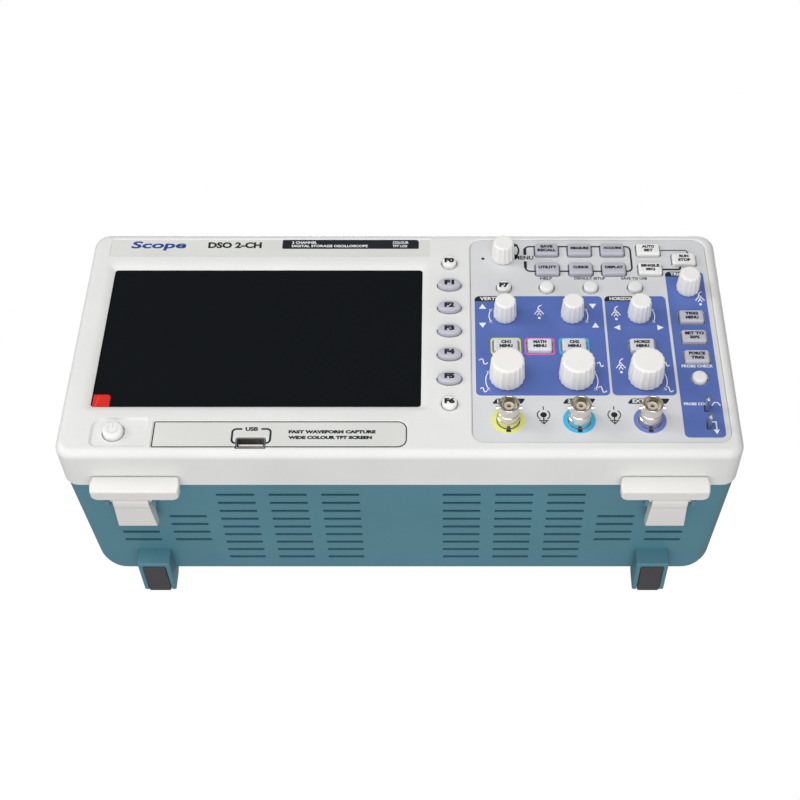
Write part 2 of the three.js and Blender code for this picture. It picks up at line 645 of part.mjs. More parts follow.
function carryHandle() {
  const { half, pivotY, gripY } = HANDLE;
  const [low, high] = [TOP - 8.6, TOP - 1.2];
  const arm = (x0, x1) => sideSlab([
    [pivotY - 3.6, low + 2], [pivotY - 2, low], [gripY, low], [gripY, high], [pivotY - 2, high],
    [pivotY - 3.6, high - 2],
  ], x0, x1);
  const grip = sideSlab([
    [gripY - 8, low + 1], [gripY - 6, low], [gripY + 5, low], [gripY + 7, low + 2],
    [gripY + 7, high - 2], [gripY + 5, high], [gripY - 6, high], [gripY - 8, high - 1],
  ], -half - 2, half + 2);
  const pins = joined(
    crossBar(2, -half - 5.6, -half + 1, pivotY, TOP - 5),
    crossBar(2, half - 1, half + 5.6, pivotY, TOP - 5));
  const arms = joined(arm(-half - 2, 10 - half), arm(half - 10, half + 2));
  return piece('carry_handle', joined(arms, grip, pins), tealPlastic);
}

// ---------------------------------------------------------------- the assembly
const group = new THREE.Group();
group.add(frontBezel(), rearShell(), displayWindow(), lcdModule(), controlPlate(), keyBoard());
group.add(...allKeys());
group.add(...knobs.map(knob));
group.add(...sockets.map(({ name, x }) => bnc(name, x, ROW.socket)));
group.add(usbHostPort(), probeTerminals());
group.add(mainBoard(), powerSupply(), fanFrame(), fanRotor(), rearIoBoard());
group.add(frontFoot('front_foot_left', -FOOT.x), frontFoot('front_foot_right', FOOT.x));
group.add(tiltLeg('tilt_leg_left', -LEG.x), tiltLeg('tilt_leg_right', LEG.x));
group.add(rearPad('rear_pad_left', -REAR_FOOT.x), rearPad('rear_pad_right', REAR_FOOT.x));
group.add(carryHandle());
group.position.set(0, -(BLOCK_BACK - LARGE_KNOB.height) / 2, STAND);

export default group;
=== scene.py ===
# %% [markdown]
# # A bench oscilloscope, finished around its CAD frame
#
# The CAD model gives every part its place and its size, and the joints that move it. This script
# loads that model as a fixed frame, and builds the finer, visible version of each part around it:
# soft edges, fluted knobs, printed legends, and a real finish on every surface.
# Blender works in metres. The front panel looks towards -Y, and the instrument stands on z = 0.

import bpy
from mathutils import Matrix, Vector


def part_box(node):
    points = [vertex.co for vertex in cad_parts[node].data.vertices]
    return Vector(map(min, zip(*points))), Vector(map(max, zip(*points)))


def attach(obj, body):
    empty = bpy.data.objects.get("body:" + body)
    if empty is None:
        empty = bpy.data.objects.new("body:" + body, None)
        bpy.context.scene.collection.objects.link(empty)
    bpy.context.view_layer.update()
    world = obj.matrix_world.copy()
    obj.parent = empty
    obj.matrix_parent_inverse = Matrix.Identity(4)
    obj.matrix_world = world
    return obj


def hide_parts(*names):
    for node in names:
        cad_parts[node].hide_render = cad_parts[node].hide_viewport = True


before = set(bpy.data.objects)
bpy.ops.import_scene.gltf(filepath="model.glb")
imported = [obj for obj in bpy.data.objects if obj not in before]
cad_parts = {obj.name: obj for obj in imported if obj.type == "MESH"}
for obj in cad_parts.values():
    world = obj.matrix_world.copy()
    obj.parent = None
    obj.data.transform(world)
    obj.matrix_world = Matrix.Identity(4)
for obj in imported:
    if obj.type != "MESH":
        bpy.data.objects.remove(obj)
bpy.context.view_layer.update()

import math

import bmesh
import bpy
from mathutils import Matrix, Vector

# %% [markdown]
# ## Camera
#
# The camera looks up at the panel from below the front, so that the keys, the knobs and the
# vented underside all show. A camera is placed with a turn about X of 90 degrees plus the angle
# that it looks up. A long lens keeps the case's edges nearly parallel.

# %% Camera
CAMERA_TILT = 37.444
lens = bpy.data.cameras.new("bench_camera")
lens.sensor_width = 36
lens.lens = 64.92
lens.shift_x = -0.0569
lens.clip_start = 0.05
camera = bpy.data.objects.new("bench_camera", lens)
camera.location = (0.02092, -0.57892, -0.36742)
camera.rotation_euler = (math.radians(90 + CAMERA_TILT), 0, 0)
bpy.context.scene.collection.objects.link(camera)
bpy.context.scene.camera = camera
print("camera looks up by", CAMERA_TILT, "degrees")

# %% [markdown]
# ## Helpers for finishes
#
# Paint makers and plastics makers give colours as sRGB hex codes, while the shader works with
# linear light, so one function converts them. Another adds one node with its settings and its
# inputs, where an input is either a value or another node's output.

# %% Colour and node helpers
MM = 0.001


def linear(code, gain=1.0):
    """The linear colour of an sRGB hex code, made lighter or darker by gain."""
    shares = [int(code[i:i + 2], 16) / 255 for i in (0, 2, 4)]
    light = [c / 12.92 if c <= 0.04045 else ((c + 0.055) / 1.055) ** 2.4 for c in shares]
    return [min(1.0, c * gain) for c in light] + [1.0]


def add(tree, kind, inputs=None, **settings):
    """Adds a shader node, sets its settings, and fills its inputs with values or outputs."""
    node = tree.nodes.new("ShaderNode" + kind)
    for setting, value in settings.items():
        setattr(node, setting, value)
    for socket, value in (inputs or {}).items():
        if isinstance(value, bpy.types.NodeSocket):
            tree.links.new(value, node.inputs[socket])
        else:
            node.inputs[socket].default_value = value
    return node


def start_finish(name, **sockets):
    """A new material, its node tree, its shader, and the place on the part in metres."""
    finish = bpy.data.materials.new(name)
    finish.use_nodes = True
    tree = finish.node_tree
    shader = tree.nodes["Principled BSDF"]
    for socket, value in sockets.items():
        shader.inputs[socket.replace("_", " ")].default_value = value
    return finish, tree, shader, add(tree, "TexCoord").outputs["Object"]


def two_tones(tree, factor, dark, light, low=0.3, high=0.7):
    """A colour that runs from dark to light as the factor runs from low to high."""
    ramp = add(tree, "ValToRGB", {"Fac": factor})
    for stop, (position, colour) in zip(ramp.color_ramp.elements, ((low, dark), (high, light))):
        stop.position, stop.color = position, colour
    return ramp.outputs["Color"]


def connect(tree, shader, colours, bump, gloss=None):
    """Gives a shader its colour, its bump and, where it varies, its roughness."""
    tree.links.new(colours, shader.inputs["Base Color"])
    tree.links.new(bump.outputs["Normal"], shader.inputs["Normal"])
    if gloss:
        tree.links.new(gloss.outputs["Result"], shader.inputs["Roughness"])


print("white plastic is", [round(c, 3) for c in linear("E8E8E6")])

# %% [markdown]
# ## Moulded plastic
#
# Most of the case is moulded ABS. Its mould is spark-eroded, which leaves a fine even grain of
# 0.2 to 0.5 mm, and the plastic itself is never quite one colour over a large wall. So the finish
# has a cloudy change of tone about 40 mm across, a slightly uneven gloss, and the grain as bump.

# %% Moulded plastic finishes
def moulded_plastic(name, colour, roughness, grain=0.4, relief=0.012, tone=0.03):
    """ABS from a spark-eroded mould. Grain and relief are in millimetres."""
    finish, tree, shader, place = start_finish(name, IOR=1.53, Specular_IOR_Level=0.45)
    cloud = add(tree, "TexNoise", {"Vector": place, "Scale": 25, "Detail": 4}).outputs["Fac"]
    colours = two_tones(tree, cloud, linear(colour, 1 - tone), linear(colour, 1 + tone))
    pits = add(tree, "TexNoise", {"Vector": place, "Scale": 1 / (grain * MM), "Detail": 2})
    gloss = add(tree, "MapRange", {"Value": pits.outputs["Fac"], "To Min": roughness - 0.06,
                                   "To Max": roughness + 0.06})
    bump = add(tree, "Bump", {"Height": pits.outputs["Fac"], "Distance": relief * MM,
                              "Strength": 0.6})
    connect(tree, shader, colours, bump, gloss)
    return finish


white_abs = moulded_plastic("white_abs_spark_grain", "E8E8E6", 0.46)
white_key_abs = moulded_plastic("white_key_abs", "F2F2F0", 0.42, grain=0.3, relief=0.006)
# The same pale grey also colours the power key's raised symbol, where it is painted shade for the symbol's
# low relief.
pale_key_abs_and_relief_shade = moulded_plastic("pale_grey_key_abs_and_painted_relief_shade", "E0E3E7", 0.42, grain=0.3, relief=0.006)
grey_key_abs = moulded_plastic("lilac_grey_key_abs", "C0C0CB", 0.48, grain=0.3, relief=0.006)
knob_abs = moulded_plastic("warm_white_knob_abs", "F6F4F1", 0.5, grain=0.25, relief=0.006)
teal_abs = moulded_plastic("teal_abs_spark_grain", "518494", 0.45, grain=0.5, relief=0.03, tone=0.05)
foot_abs = moulded_plastic("white_foot_abs", "E6E4E1", 0.45, grain=0.3, relief=0.008)
black_abs = moulded_plastic("black_glass_filled_nylon", "1B1C1E", 0.55, grain=0.5, relief=0.02)
ptfe = moulded_plastic("aged_ptfe", "CFC8BC", 0.45, grain=0.3, relief=0.004)
tongue_plastic = moulded_plastic("ivory_contact_carrier", "F1ECE4", 0.45, grain=0.3)
print("moulded plastics:", len(bpy.data.materials))

# %% [markdown]
# ## Printed films and inks
#
# The control plate is covered by a matt polyester film, printed from behind, so the legends lie
# nearly flush and share the film's satin gloss. Ink is modelled as a skin a few hundredths of a
# millimetre thick with a fine orange-peel texture of about 0.6 mm.

# %% Film and ink finishes
def satin_ink(name, colour, tone=0.03):
    """Screen ink under a satin film."""
    finish, tree, shader, place = start_finish(name, IOR=1.5, Specular_IOR_Level=0.4)
    cloud = add(tree, "TexNoise", {"Vector": place, "Scale": 40, "Detail": 3}).outputs["Fac"]
    colours = two_tones(tree, cloud, linear(colour, 1 - tone), linear(colour, 1 + tone))
    peel = add(tree, "TexNoise", {"Vector": place, "Scale": 1 / (0.6 * MM), "Detail": 1})
    gloss = add(tree, "MapRange", {"Value": peel.outputs["Fac"], "To Min": 0.37, "To Max": 0.47})
    bump = add(tree, "Bump", {"Height": peel.outputs["Fac"], "Distance": 0.004 * MM,
                              "Strength": 0.5})
    connect(tree, shader, colours, bump, gloss)
    return finish


plate_film = satin_ink("pale_grey_polyester_film", "DADBDD")
strip_film = satin_ink("grey_name_strip_film", "DEDFDB")
blue_ink = satin_ink("blue_screen_ink", "5970B7", tone=0.06)
dark_ink = satin_ink("black_screen_ink", "1A1F28")
white_ink = satin_ink("white_screen_ink", "F6F7FA")
royal_ink = satin_ink("royal_blue_screen_ink", "1F4796")
yellow_ink = satin_ink("yellow_screen_ink", "E8EC7C")
magenta_ink = satin_ink("magenta_screen_ink", "DE6ABF")
cyan_ink = satin_ink("cyan_screen_ink", "3FBBEC")
violet_ink = satin_ink("violet_blue_screen_ink", "6C7FC8")
print("inks and films ready")

# %% [markdown]
# ## Metals
#
# The sockets are nickel-plated brass, turned on a lathe, and the shields and cans are bright steel
# sheet. Both are full metals, so their colour is the tint of their reflection. Turning marks and
# rolling marks are stretched noise, which spreads the reflection along one direction.

# %% Metal finishes
def worked_metal(name, colour, roughness, stretch, mark=0.25):
    """A bare metal with tool marks that run along one axis, mark millimetres apart."""
    finish, tree, shader, place = start_finish(name, Metallic=1.0)
    along = add(tree, "Mapping", {"Vector": place, "Scale": stretch}).outputs["Vector"]
    marks = add(tree, "TexNoise", {"Vector": along, "Scale": 1 / (mark * MM), "Detail": 3})
    haze = add(tree, "TexNoise", {"Vector": place, "Scale": 180, "Detail": 4}).outputs["Fac"]
    colours = two_tones(tree, haze, linear(colour, 0.86), linear(colour, 1.08))
    gloss = add(tree, "MapRange", {"Value": marks.outputs["Fac"], "To Min": roughness - 0.08,
                                   "To Max": roughness + 0.1})
    bump = add(tree, "Bump", {"Height": marks.outputs["Fac"], "Distance": 0.004 * MM})
    connect(tree, shader, colours, bump, gloss)
    return finish


nickel = worked_metal("nickel_plated_brass", "EEE9E0", 0.22, (0.3, 1.6, 0.3))
steel_sheet = worked_metal("bright_steel_sheet", "BFC2C6", 0.32, (0.05, 1, 1), mark=0.6)
gold = worked_metal("gold_plated_contact", "B5792F", 0.34, (1, 1, 1))
aluminium = worked_metal("extruded_aluminium", "B8BCC0", 0.38, (1, 1, 0.04), mark=0.5)
print("metals ready")

# %% [markdown]
# ## Screen window, rubber, boards and film
#
# The window is smoked acrylic with an anti-glare coat: nearly black, with a weak blurred
# reflection. The feet are moulded rubber, dull and slightly speckled with dust. Circuit boards are
# green solder mask over woven glass, whose threads are about 0.5 mm apart.

# %% Window, rubber, board and pull-tab finishes
def speckled(name, colour, roughness, spot, contrast, level=0.3):
    """A plain dull body colour with fine specks, spot millimetres across."""
    finish, tree, shader, place = start_finish(name, IOR=1.5, Specular_IOR_Level=level)
    specks = add(tree, "TexNoise", {"Vector": place, "Scale": 1 / (spot * MM), "Detail": 5,
                                    "Roughness": 0.7})
    colours = two_tones(tree, specks.outputs["Fac"], linear(colour, 1 - contrast),
                        linear(colour, 1 + contrast), 0.35, 0.75)
    bump = add(tree, "Bump", {"Height": specks.outputs["Fac"], "Distance": 0.01 * MM,
                              "Strength": 0.5})
    shader.inputs["Roughness"].default_value = roughness
    connect(tree, shader, colours, bump)
    return finish


def woven_board(name):
    """Solder mask over woven glass cloth with threads half a millimetre apart."""
    finish, tree, shader, place = start_finish(name, IOR=1.55, Roughness=0.38)
    threads = [add(tree, "TexWave", {"Vector": place, "Scale": 320, "Distortion": 0.4},
                   bands_direction=axis).outputs["Fac"] for axis in ("X", "Z")]
    cloth = add(tree, "Math", {0: threads[0], 1: threads[1]}, operation="MAXIMUM").outputs[0]
    bump = add(tree, "Bump", {"Height": cloth, "Distance": 0.02 * MM, "Strength": 0.4})
    tracks = add(tree, "TexVoronoi", {"Vector": place, "Scale": 260}, feature="DISTANCE_TO_EDGE")
    colours = two_tones(tree, tracks.outputs["Distance"], linear("2E7A50"), linear("1A4F33"),
                        0.02, 0.1)
    connect(tree, shader, colours, bump)
    return finish


smoked_acrylic = speckled("smoked_acrylic_anti_glare", "14171B", 0.22, 0.4, 0.12, level=0.07)
rubber = speckled("moulded_rubber", "4E4C4F", 0.85, 0.5, 0.4)
solder_mask = woven_board("green_solder_mask_on_glass_cloth")
copper_varnish = speckled("varnished_copper_winding", "9C5A34", 0.35, 0.3, 0.25, level=0.5)
sleeve = speckled("black_shrink_sleeve", "23262B", 0.4, 0.6, 0.2)
red_film = speckled("red_polyester_pull_tab", "E02A22", 0.25, 0.8, 0.06, level=0.5)
# A lighter red, used only for the strip that paints the highlight on the pull tab's crease.
red_film_crease_highlight = speckled("red_polyester_painted_crease_highlight", "F0564A", 0.25, 0.8, 0.06, level=0.5)
print("all finishes:", len(bpy.data.materials))

# %% [markdown]
# ## Helpers for shapes
#
# Every part here is measured from the bezel's front face: x to the right, y back from the face and
# z up from the bezel's lower edge, in millimetres. `at` turns that into the frame's metres, with
# the CAD bezel's own corner as the zero point. A part is then skinned over rings of points, which
# gives full control of its soft edges, and holes are cut with solid tools.

# %% Panel millimetres and closed skins
bezel_low, bezel_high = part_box("front_bezel")
PANEL_ORIGIN = Vector((0, bezel_low.y, bezel_low.z))


def at(x, y, z):
    """A point given in panel millimetres, in the frame's metres."""
    return PANEL_ORIGIN + Vector((x, y, z)) * MM


def panel_box(node):
    """The low and high corner of a CAD node in panel millimetres."""
    return [(corner - PANEL_ORIGIN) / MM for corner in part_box(node)]


def skin(name, points, faces):
    """A closed mesh over panel points, with its faces turned outwards."""
    mesh = bpy.data.meshes.new(name)
    mesh.from_pydata([at(*point) for point in points], [], faces)
    work = bmesh.new()
    work.from_mesh(mesh)
    bmesh.ops.remove_doubles(work, verts=work.verts, dist=1e-7)
    bmesh.ops.recalc_face_normals(work, faces=work.faces)
    work.to_mesh(mesh)
    work.free()
    piece = bpy.data.objects.new(name, mesh)
    bpy.context.scene.collection.objects.link(piece)
    return piece


def loft(name, rings):
    """Skins rings of equally many points, one behind the other, and closes both ends."""
    n, last = len(rings[0]), len(rings) - 1
    faces = [(k * n + i, k * n + (i + 1) % n, (k + 1) * n + (i + 1) % n, (k + 1) * n + i)
             for k in range(last) for i in range(n)]
    if rings[0] != rings[-1]:
        faces += [tuple(range(n)), tuple(range(last * n, last * n + n))]
    return skin(name, [point for ring in rings for point in ring], faces)


print("panel origin", [round(c, 4) for c in PANEL_ORIGIN])

# %% Outlines on the panel
def around(steps):
    """Angles spaced evenly round a circle."""
    return [2 * math.pi * i / steps for i in range(steps)]


def quarter_turn(steps):
    """Angles from nought to a right angle, with both ends."""
    return [math.pi / 2 * i / steps for i in range(steps + 1)]


def about(x, z, half_width, half_height):
    """The sides of a box about its centre: left, right, bottom and top."""
    return x - half_width, x + half_width, z - half_height, z + half_height


def rounded(x0, x1, z0, z1, radii, steps=8):
    """A rectangle's outline with rounded corners: one radius, or four from the top right round."""
    radii = [radii] * 4 if isinstance(radii, (int, float)) else radii
    centres = [(x1 - radii[0], z1 - radii[0]), (x0 + radii[1], z1 - radii[1]),
               (x0 + radii[2], z0 + radii[2]), (x1 - radii[3], z0 + radii[3])]
    outline = []
    for quarter, ((cx, cz), r) in enumerate(zip(centres, radii)):
        for step in range(steps + 1):
            turn = (quarter + step / steps) * math.pi / 2
            outline.append((cx + r * math.cos(turn), cz + r * math.sin(turn)))
    return outline


def oval(x, z, a, b=None, steps=48):
    """An ellipse's outline, or a circle's."""
    return [(x + a * math.cos(t), z + (b or a) * math.sin(t)) for t in around(steps)]


def slab(name, outline, y0, y1):
    """An outline given thickness from y0 back to y1."""
    return loft(name, [[(x, y, z) for x, z in outline] for y in (y0, y1)])


def stepped(name, levels):
    """A body through several outlines, each with its depth."""
    return loft(name, [[(x, y, z) for x, z in outline] for y, outline in levels])


def turned(name, profile, x, z, steps=48):
    """A body turned about an axis along y. The profile lists (radius, depth)."""
    return loft(name, [[(x + r * math.cos(t), y, z + r * math.sin(t)) for t in around(steps)]
                       for r, y in profile])


def upright(name, levels):
    """A body through several outlines in x and y, each with its height z."""
    return loft(name, [[(x, y, z) for x, y in outline] for z, outline in levels])


def sideways(name, outline, x0, x1):
    """A side outline in y and z, given width along x."""
    return loft(name, [[(x, y, z) for y, z in outline] for x in (x0, x1)])


print("a rounded outline has", len(rounded(0, 1, 0, 1, 0.2)), "points")

# %% Cutting, softening and joining
def settle(piece):
    """Makes what the modifiers give into the piece's own mesh."""
    graph = bpy.context.evaluated_depsgraph_get()
    piece.data = bpy.data.meshes.new_from_object(piece.evaluated_get(graph))
    piece.modifiers.clear()
    return piece


def drop(*pieces):
    """Removes pieces that were only tools."""
    for piece in pieces:
        bpy.data.objects.remove(piece)


def gather(name, pieces):
    """Joins separate pieces into one object."""
    joined = bmesh.new()
    for piece in pieces:
        joined.from_mesh(piece.data)
    mesh = bpy.data.meshes.new(name)
    joined.to_mesh(mesh)
    joined.free()
    drop(*pieces)
    whole = bpy.data.objects.new(name, mesh)
    bpy.context.scene.collection.objects.link(whole)
    return whole


def combine(piece, tools, operation="DIFFERENCE"):
    """Cuts each tool out of the piece, or welds it on, and removes the tool."""
    for tool in tools:
        step = piece.modifiers.new("combine", "BOOLEAN")
        step.operation, step.solver, step.object = operation, "MANIFOLD", tool
    settle(piece)
    drop(*tools)
    return piece


def soften(piece, width, segments=3):
    """Rounds every edge that turns by more than 35 degrees. The width is in millimetres."""
    edge = piece.modifiers.new("soften", "BEVEL")
    edge.width, edge.segments = width * MM, segments
    edge.limit_method, edge.angle_limit = "ANGLE", math.radians(35)
    edge.use_clamp_overlap = True
    return settle(piece)


def fit(piece, finish, body, stands_for=(), crease=32):
    """Gives a piece its finish and its shading, and lets it ride on its body."""
    piece.data.materials.clear()
    piece.data.materials.append(finish)
    piece.data.shade_smooth()
    piece.data.set_sharp_from_angle(angle=math.radians(crease))
    even = piece.modifiers.new("even_shading", "WEIGHTED_NORMAL")
    even.keep_sharp = True
    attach(piece, body)
    if stands_for:
        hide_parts(*stands_for)
    return piece


print("shape helpers ready")

# %% [markdown]
# ## The keys and knobs, read from the frame
#
# The CAD model already knows where each key and knob is, so their centres are read from it once,
# and everything that has to line up with them (holes, recesses, legends) uses the same numbers.

# %% Where the keys and knobs are
def centre(node):
    """The centre of a CAD node on the panel, in millimetres."""
    low, high = panel_box(node)
    return (low.x + high.x) / 2, (low.z + high.z) / 2


node_names = list(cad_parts)
oval_keys = [f"soft_key_f{i}" for i in range(1, 6)]
round_bezel_keys = ["soft_key_f0", "soft_key_f6"]
round_plate_keys = ["key_f7", "key_help", "key_default_setup", "key_save_to_usb", "key_probe_check"]
bar_keys = [n for n in node_names if n.startswith("key_") and n not in round_plate_keys
            and n != "key_board"]
knob_names = [n for n in node_names if n.startswith("knob_")]
socket_names = [n for n in node_names if n.startswith("bnc_")]

BAR = (11.6, 7.6, 1.2)
OVAL = (5.65, 3.4)
ROUND_RADIUS = 3.5
POWER_RADIUS = 4.7
CLEARANCE = 0.6
PLATE_FACE = 0.6
PLATE_BACK = 3.1
SOCKET_ROW = centre("bnc_channel_1")[1]


def key_outline(node, grow=0.0):
    """The outline of a key's cap, made larger by grow."""
    x, z = centre(node)
    if node in bar_keys:
        w, h, r = BAR
        return rounded(*about(x, z, w / 2 + grow, h / 2 + grow), max(r + grow, 0.2), steps=6)
    if node in oval_keys:
        return oval(x, z, OVAL[0] + grow, OVAL[1] + grow)
    radius = POWER_RADIUS if node == "power_button" else ROUND_RADIUS
    return oval(x, z, radius + grow)


print(len(bar_keys), "bar keys,", len(round_plate_keys), "round keys,", len(knob_names), "knobs")

# %% [markdown]
# ## Front bezel
#
# The bezel is one white moulding: a tray 24 mm deep with a soft front edge, a sloping picture frame
# round the screen, and holes for the keys. It is lofted as a solid, hollowed, and then cut with
# tools that flare out at the face, so that each hole gets a small light-catching edge.

# %% The bezel's outer body
HALF_WIDTH = (bezel_high.x - bezel_low.x) / 2 / MM
BEZEL_HEIGHT = (bezel_high.z - bezel_low.z) / MM
BEZEL_DEPTH = (bezel_high.y - bezel_low.y) / MM
FILLET = 4.0
CORNER = 8.0
WALL = 2.5


def bezel_ring(y, inset):
    return y, rounded(-HALF_WIDTH + inset, HALF_WIDTH - inset, inset, BEZEL_HEIGHT - inset,
                      max(CORNER - inset, 0.6), steps=12)


soft_edge = [(FILLET * (1 - math.cos(a)), FILLET * (1 - math.sin(a))) for a in quarter_turn(10)]
bezel = stepped("bezel", [bezel_ring(*step) for step in soft_edge]
                + [bezel_ring(BEZEL_DEPTH - 0.4, 0), bezel_ring(BEZEL_DEPTH, 0.4)])
hollow = stepped("hollow", [bezel_ring(WALL, WALL), bezel_ring(BEZEL_DEPTH + 1, WALL)])
combine(bezel, [hollow])
print("bezel tray", round(2 * HALF_WIDTH, 1), "by", round(BEZEL_HEIGHT, 1), "mm")

# %% The bezel's openings
window_low, window_high = panel_box("display_window")
SCREEN = (window_low.x + 2, window_high.x - 2, window_low.z + 2, window_high.z - 2)
FRAME_EDGE = (-148.0, 14.2, 25.1, 119.5)
SCREEN_RECESS = 2.3
plate_low, plate_high = panel_box("control_plate")
PLATE = (plate_low.x - 0.3, plate_high.x + 0.3, plate_low.z - 0.3, plate_high.z + 0.3)
LABEL = (-113.1, 3.6, 4.2, 19.4)
NAME_STRIP = (-147.8, 13.4, 122.2, 134.0)


def grown(box, by):
    """A box's outline corners, moved out by a distance."""
    return box[0] - by, box[1] + by, box[2] - by, box[3] + by


def hole(node, front, back):
    """A tool for a key's hole, with a small flare at the face."""
    return stepped("hole", [(front - 1, key_outline(node, CLEARANCE + 1.15)),
                            (front + 0.15, key_outline(node, CLEARANCE)),
                            (back, key_outline(node, CLEARANCE))])


def sunk(box, radii, depth, slope):
    """A tool for a shallow recess with sloping sides."""
    rate = slope / depth
    return stepped("sunk", [(-0.5, rounded(*grown(box, slope + 0.5 * rate), radii)),
                            (depth, rounded(*box, radii))])


slope = [edge + (edge - inner) * 0.2 / SCREEN_RECESS
         for edge, inner in zip(FRAME_EDGE, SCREEN)]
picture_frame = stepped("picture_frame", [
    (-0.2, rounded(*slope, 2.4)), (SCREEN_RECESS - 0.1, rounded(*SCREEN, 1.6)),
    (WALL + 1, rounded(*SCREEN, 1.6))])
plate_seat = stepped("plate_seat", [
    (-0.6, rounded(*grown(PLATE, 1.1), 7)), (0.5, rounded(*grown(PLATE, -0.2), 6)),
    (WALL + 1, rounded(*grown(PLATE, -0.2), 6))])
combine(bezel, [picture_frame])
combine(bezel, [plate_seat])
print("screen opening", [round(v, 1) for v in SCREEN])

# %% Key holes, recesses and the port's hole
power_x, power_z = centre("power_button")
POWER_BAY = (-140.6, -116.4, 5.4, 20.4)
shallow = [sunk(POWER_BAY, [0.9, 5.2, 3.6, 0.9], 0.9, 0.8), sunk(NAME_STRIP, 1.0, 0.35, 0.4),
           sunk(LABEL, [4.6, 0.8, 0.8, 4.6], 0.4, 0.25)]
shallow += [stepped("dish", [(-0.5, key_outline(n, 2.6)), (0.45, key_outline(n, 1.0))])
            for n in oval_keys]
shallow += [stepped("dish", [(-0.5, key_outline(n, 1.9)), (0.3, key_outline(n, 0.9))])
            for n in round_bezel_keys]
combine(bezel, [gather("shallow", shallow)])
deep = [hole(n, 0.3, WALL + 1) for n in oval_keys + round_bezel_keys]
deep.append(hole("power_button", 0.9, WALL + 1))
usb_low, usb_high = panel_box("usb_host_port")
usb_box = (usb_low.x, usb_high.x, usb_low.z, usb_high.z)
deep.append(stepped("port_hole", [(-0.4, rounded(*grown(usb_box, 0.9), 0.9)),
                                  (0.7, rounded(*grown(usb_box, 0.3), 0.6)),
                                  (WALL + 1, rounded(*grown(usb_box, 0.3), 0.6))]))
combine(bezel, [gather("deep", deep)])
fit(bezel, white_abs, "case", ["front_bezel"])
print("bezel faces:", len(bezel.data.polygons))

# %% [markdown]
# ## Small ridges from the screen to the soft keys
#
# Five fine raised lines lead the eye from the screen's menu to its five oval keys. Each one is a
# thin bar that follows the frame's slope, and it is part of the bezel's moulding.

# %% Guide ridges
def guide_ridge(node):
    x, z = centre(node)
    low, high = SCREEN[1] + 0.7, x - OVAL[0] - 1.6
    drop_z = 2.6
    line = [(low, SCREEN_RECESS - 0.34), (FRAME_EDGE[1], 0.0), (high, 0.0)]
    rings = []
    for px, py in line:
        pz = z - drop_z * (high - px) / (high - low)
        rings.append([(px, py - 0.14, pz), (px, py + 0.2, pz + 0.34), (px, py + 0.2, pz - 0.34)])
    return loft("ridge", rings)


ridges = gather("guide_ridges", [guide_ridge(n) for n in oval_keys])
fit(ridges, white_abs, "case")
print("ridges:", len(oval_keys))

# %% [markdown]
# ## Screen window
#
# Behind the frame sits the smoked window, a flat sheet with a fine bevel. The red pull tab of its
# protective film is still stuck over the lower left corner: a square flap with one round corner,
# creased near its left edge. The crease is not shaped; a thin lighter red strip paints its highlight.

# %% Window and pull tab
window = slab("screen_window", rounded(window_low.x, window_high.x, window_low.z, window_high.z, 2.5),
              window_low.y, window_high.y)
soften(window, 0.25, 2)
fit(window, smoked_acrylic, "case", ["display_window"])
TAB_FACE = window_low.y - 0.12
tab = slab("film_pull_tab", rounded(-143.6, -135.6, 29.3, 36.4, [1.7, 0.2, 0.1, 0.1]),
           TAB_FACE, TAB_FACE + 0.1)
fit(tab, red_film, "case")
# This strip is a painted highlight: lighter red laid flat along the tab's crease, which has no shape of its
# own.
crease_highlight_strip = slab("film_pull_tab_painted_crease_highlight", [(-142.3, 29.4), (-141.9, 29.4), (-140.8, 35.4), (-141.2, 35.4)],
            TAB_FACE - 0.08, TAB_FACE)
fit(crease_highlight_strip, red_film_crease_highlight, "case")
print("window sheet", round(window_high.y - window_low.y, 2), "mm thick")

# %% [markdown]
# ## Control plate
#
# The plate is a separate moulding set into the bezel, with a hole for each key, knob shaft and
# socket. The same hole tools cut the plate and, later, the printed fields, so that print and
# plastic end at the same edge.

# %% Plate with its holes
probe_x = centre("probe_terminals")[0]
PROBE_ROWS = (17.0, 27.0)
SHAFT_HOLE, SOCKET_HOLE = 3.6, 5.5


def plate_tools(back):
    """Tools for everything that passes through the control plate."""
    tools = [hole(node, PLATE_FACE, back) for node in bar_keys + round_plate_keys]
    for node in knob_names:
        tools.append(slab("shaft", oval(*centre(node), SHAFT_HOLE), -1, back))
    for node in socket_names:
        tools.append(slab("socket", oval(*centre(node), SOCKET_HOLE), -1, back))
    for z in PROBE_ROWS:
        tools.append(slab("probe", rounded(*about(probe_x, z, 1, 2.3), 0.3), -1, back))
    return tools


plate_outline = rounded(plate_low.x, plate_high.x, plate_low.z, plate_high.z, 5.7)
plate = stepped("control_plate_panel", [
    (PLATE_FACE, rounded(*grown(PLATE, -0.75), 5.4)), (PLATE_FACE + 0.12, rounded(*grown(PLATE, -0.4), 5.6)),
    (PLATE_FACE + 0.45, plate_outline), (PLATE_BACK, plate_outline)])
combine(plate, [gather("plate_tools", plate_tools(5))])
fit(plate, plate_film, "case", ["control_plate"])
print("plate faces:", len(plate.data.polygons))

# %% [markdown]
# ## Print: lines, patches and lettering
#
# Print is made as real skins a few hundredths of a millimetre thick. A patch is any filled outline.
# A stroke is a line of even width, built from a ribbon either side of its middle. Lettering starts
# as a text curve, which is turned into a mesh and scaled to an exact cap height and width.

# %% Printing helpers
INK = 0.03


def patch(outline, face, layers=1, tools=()):
    """A filled, printed outline on a surface at depth face."""
    piece = slab("patch", outline, face - INK * layers, face + 0.05)
    return combine(piece, [gather("tools", list(tools))]) if tools else piece


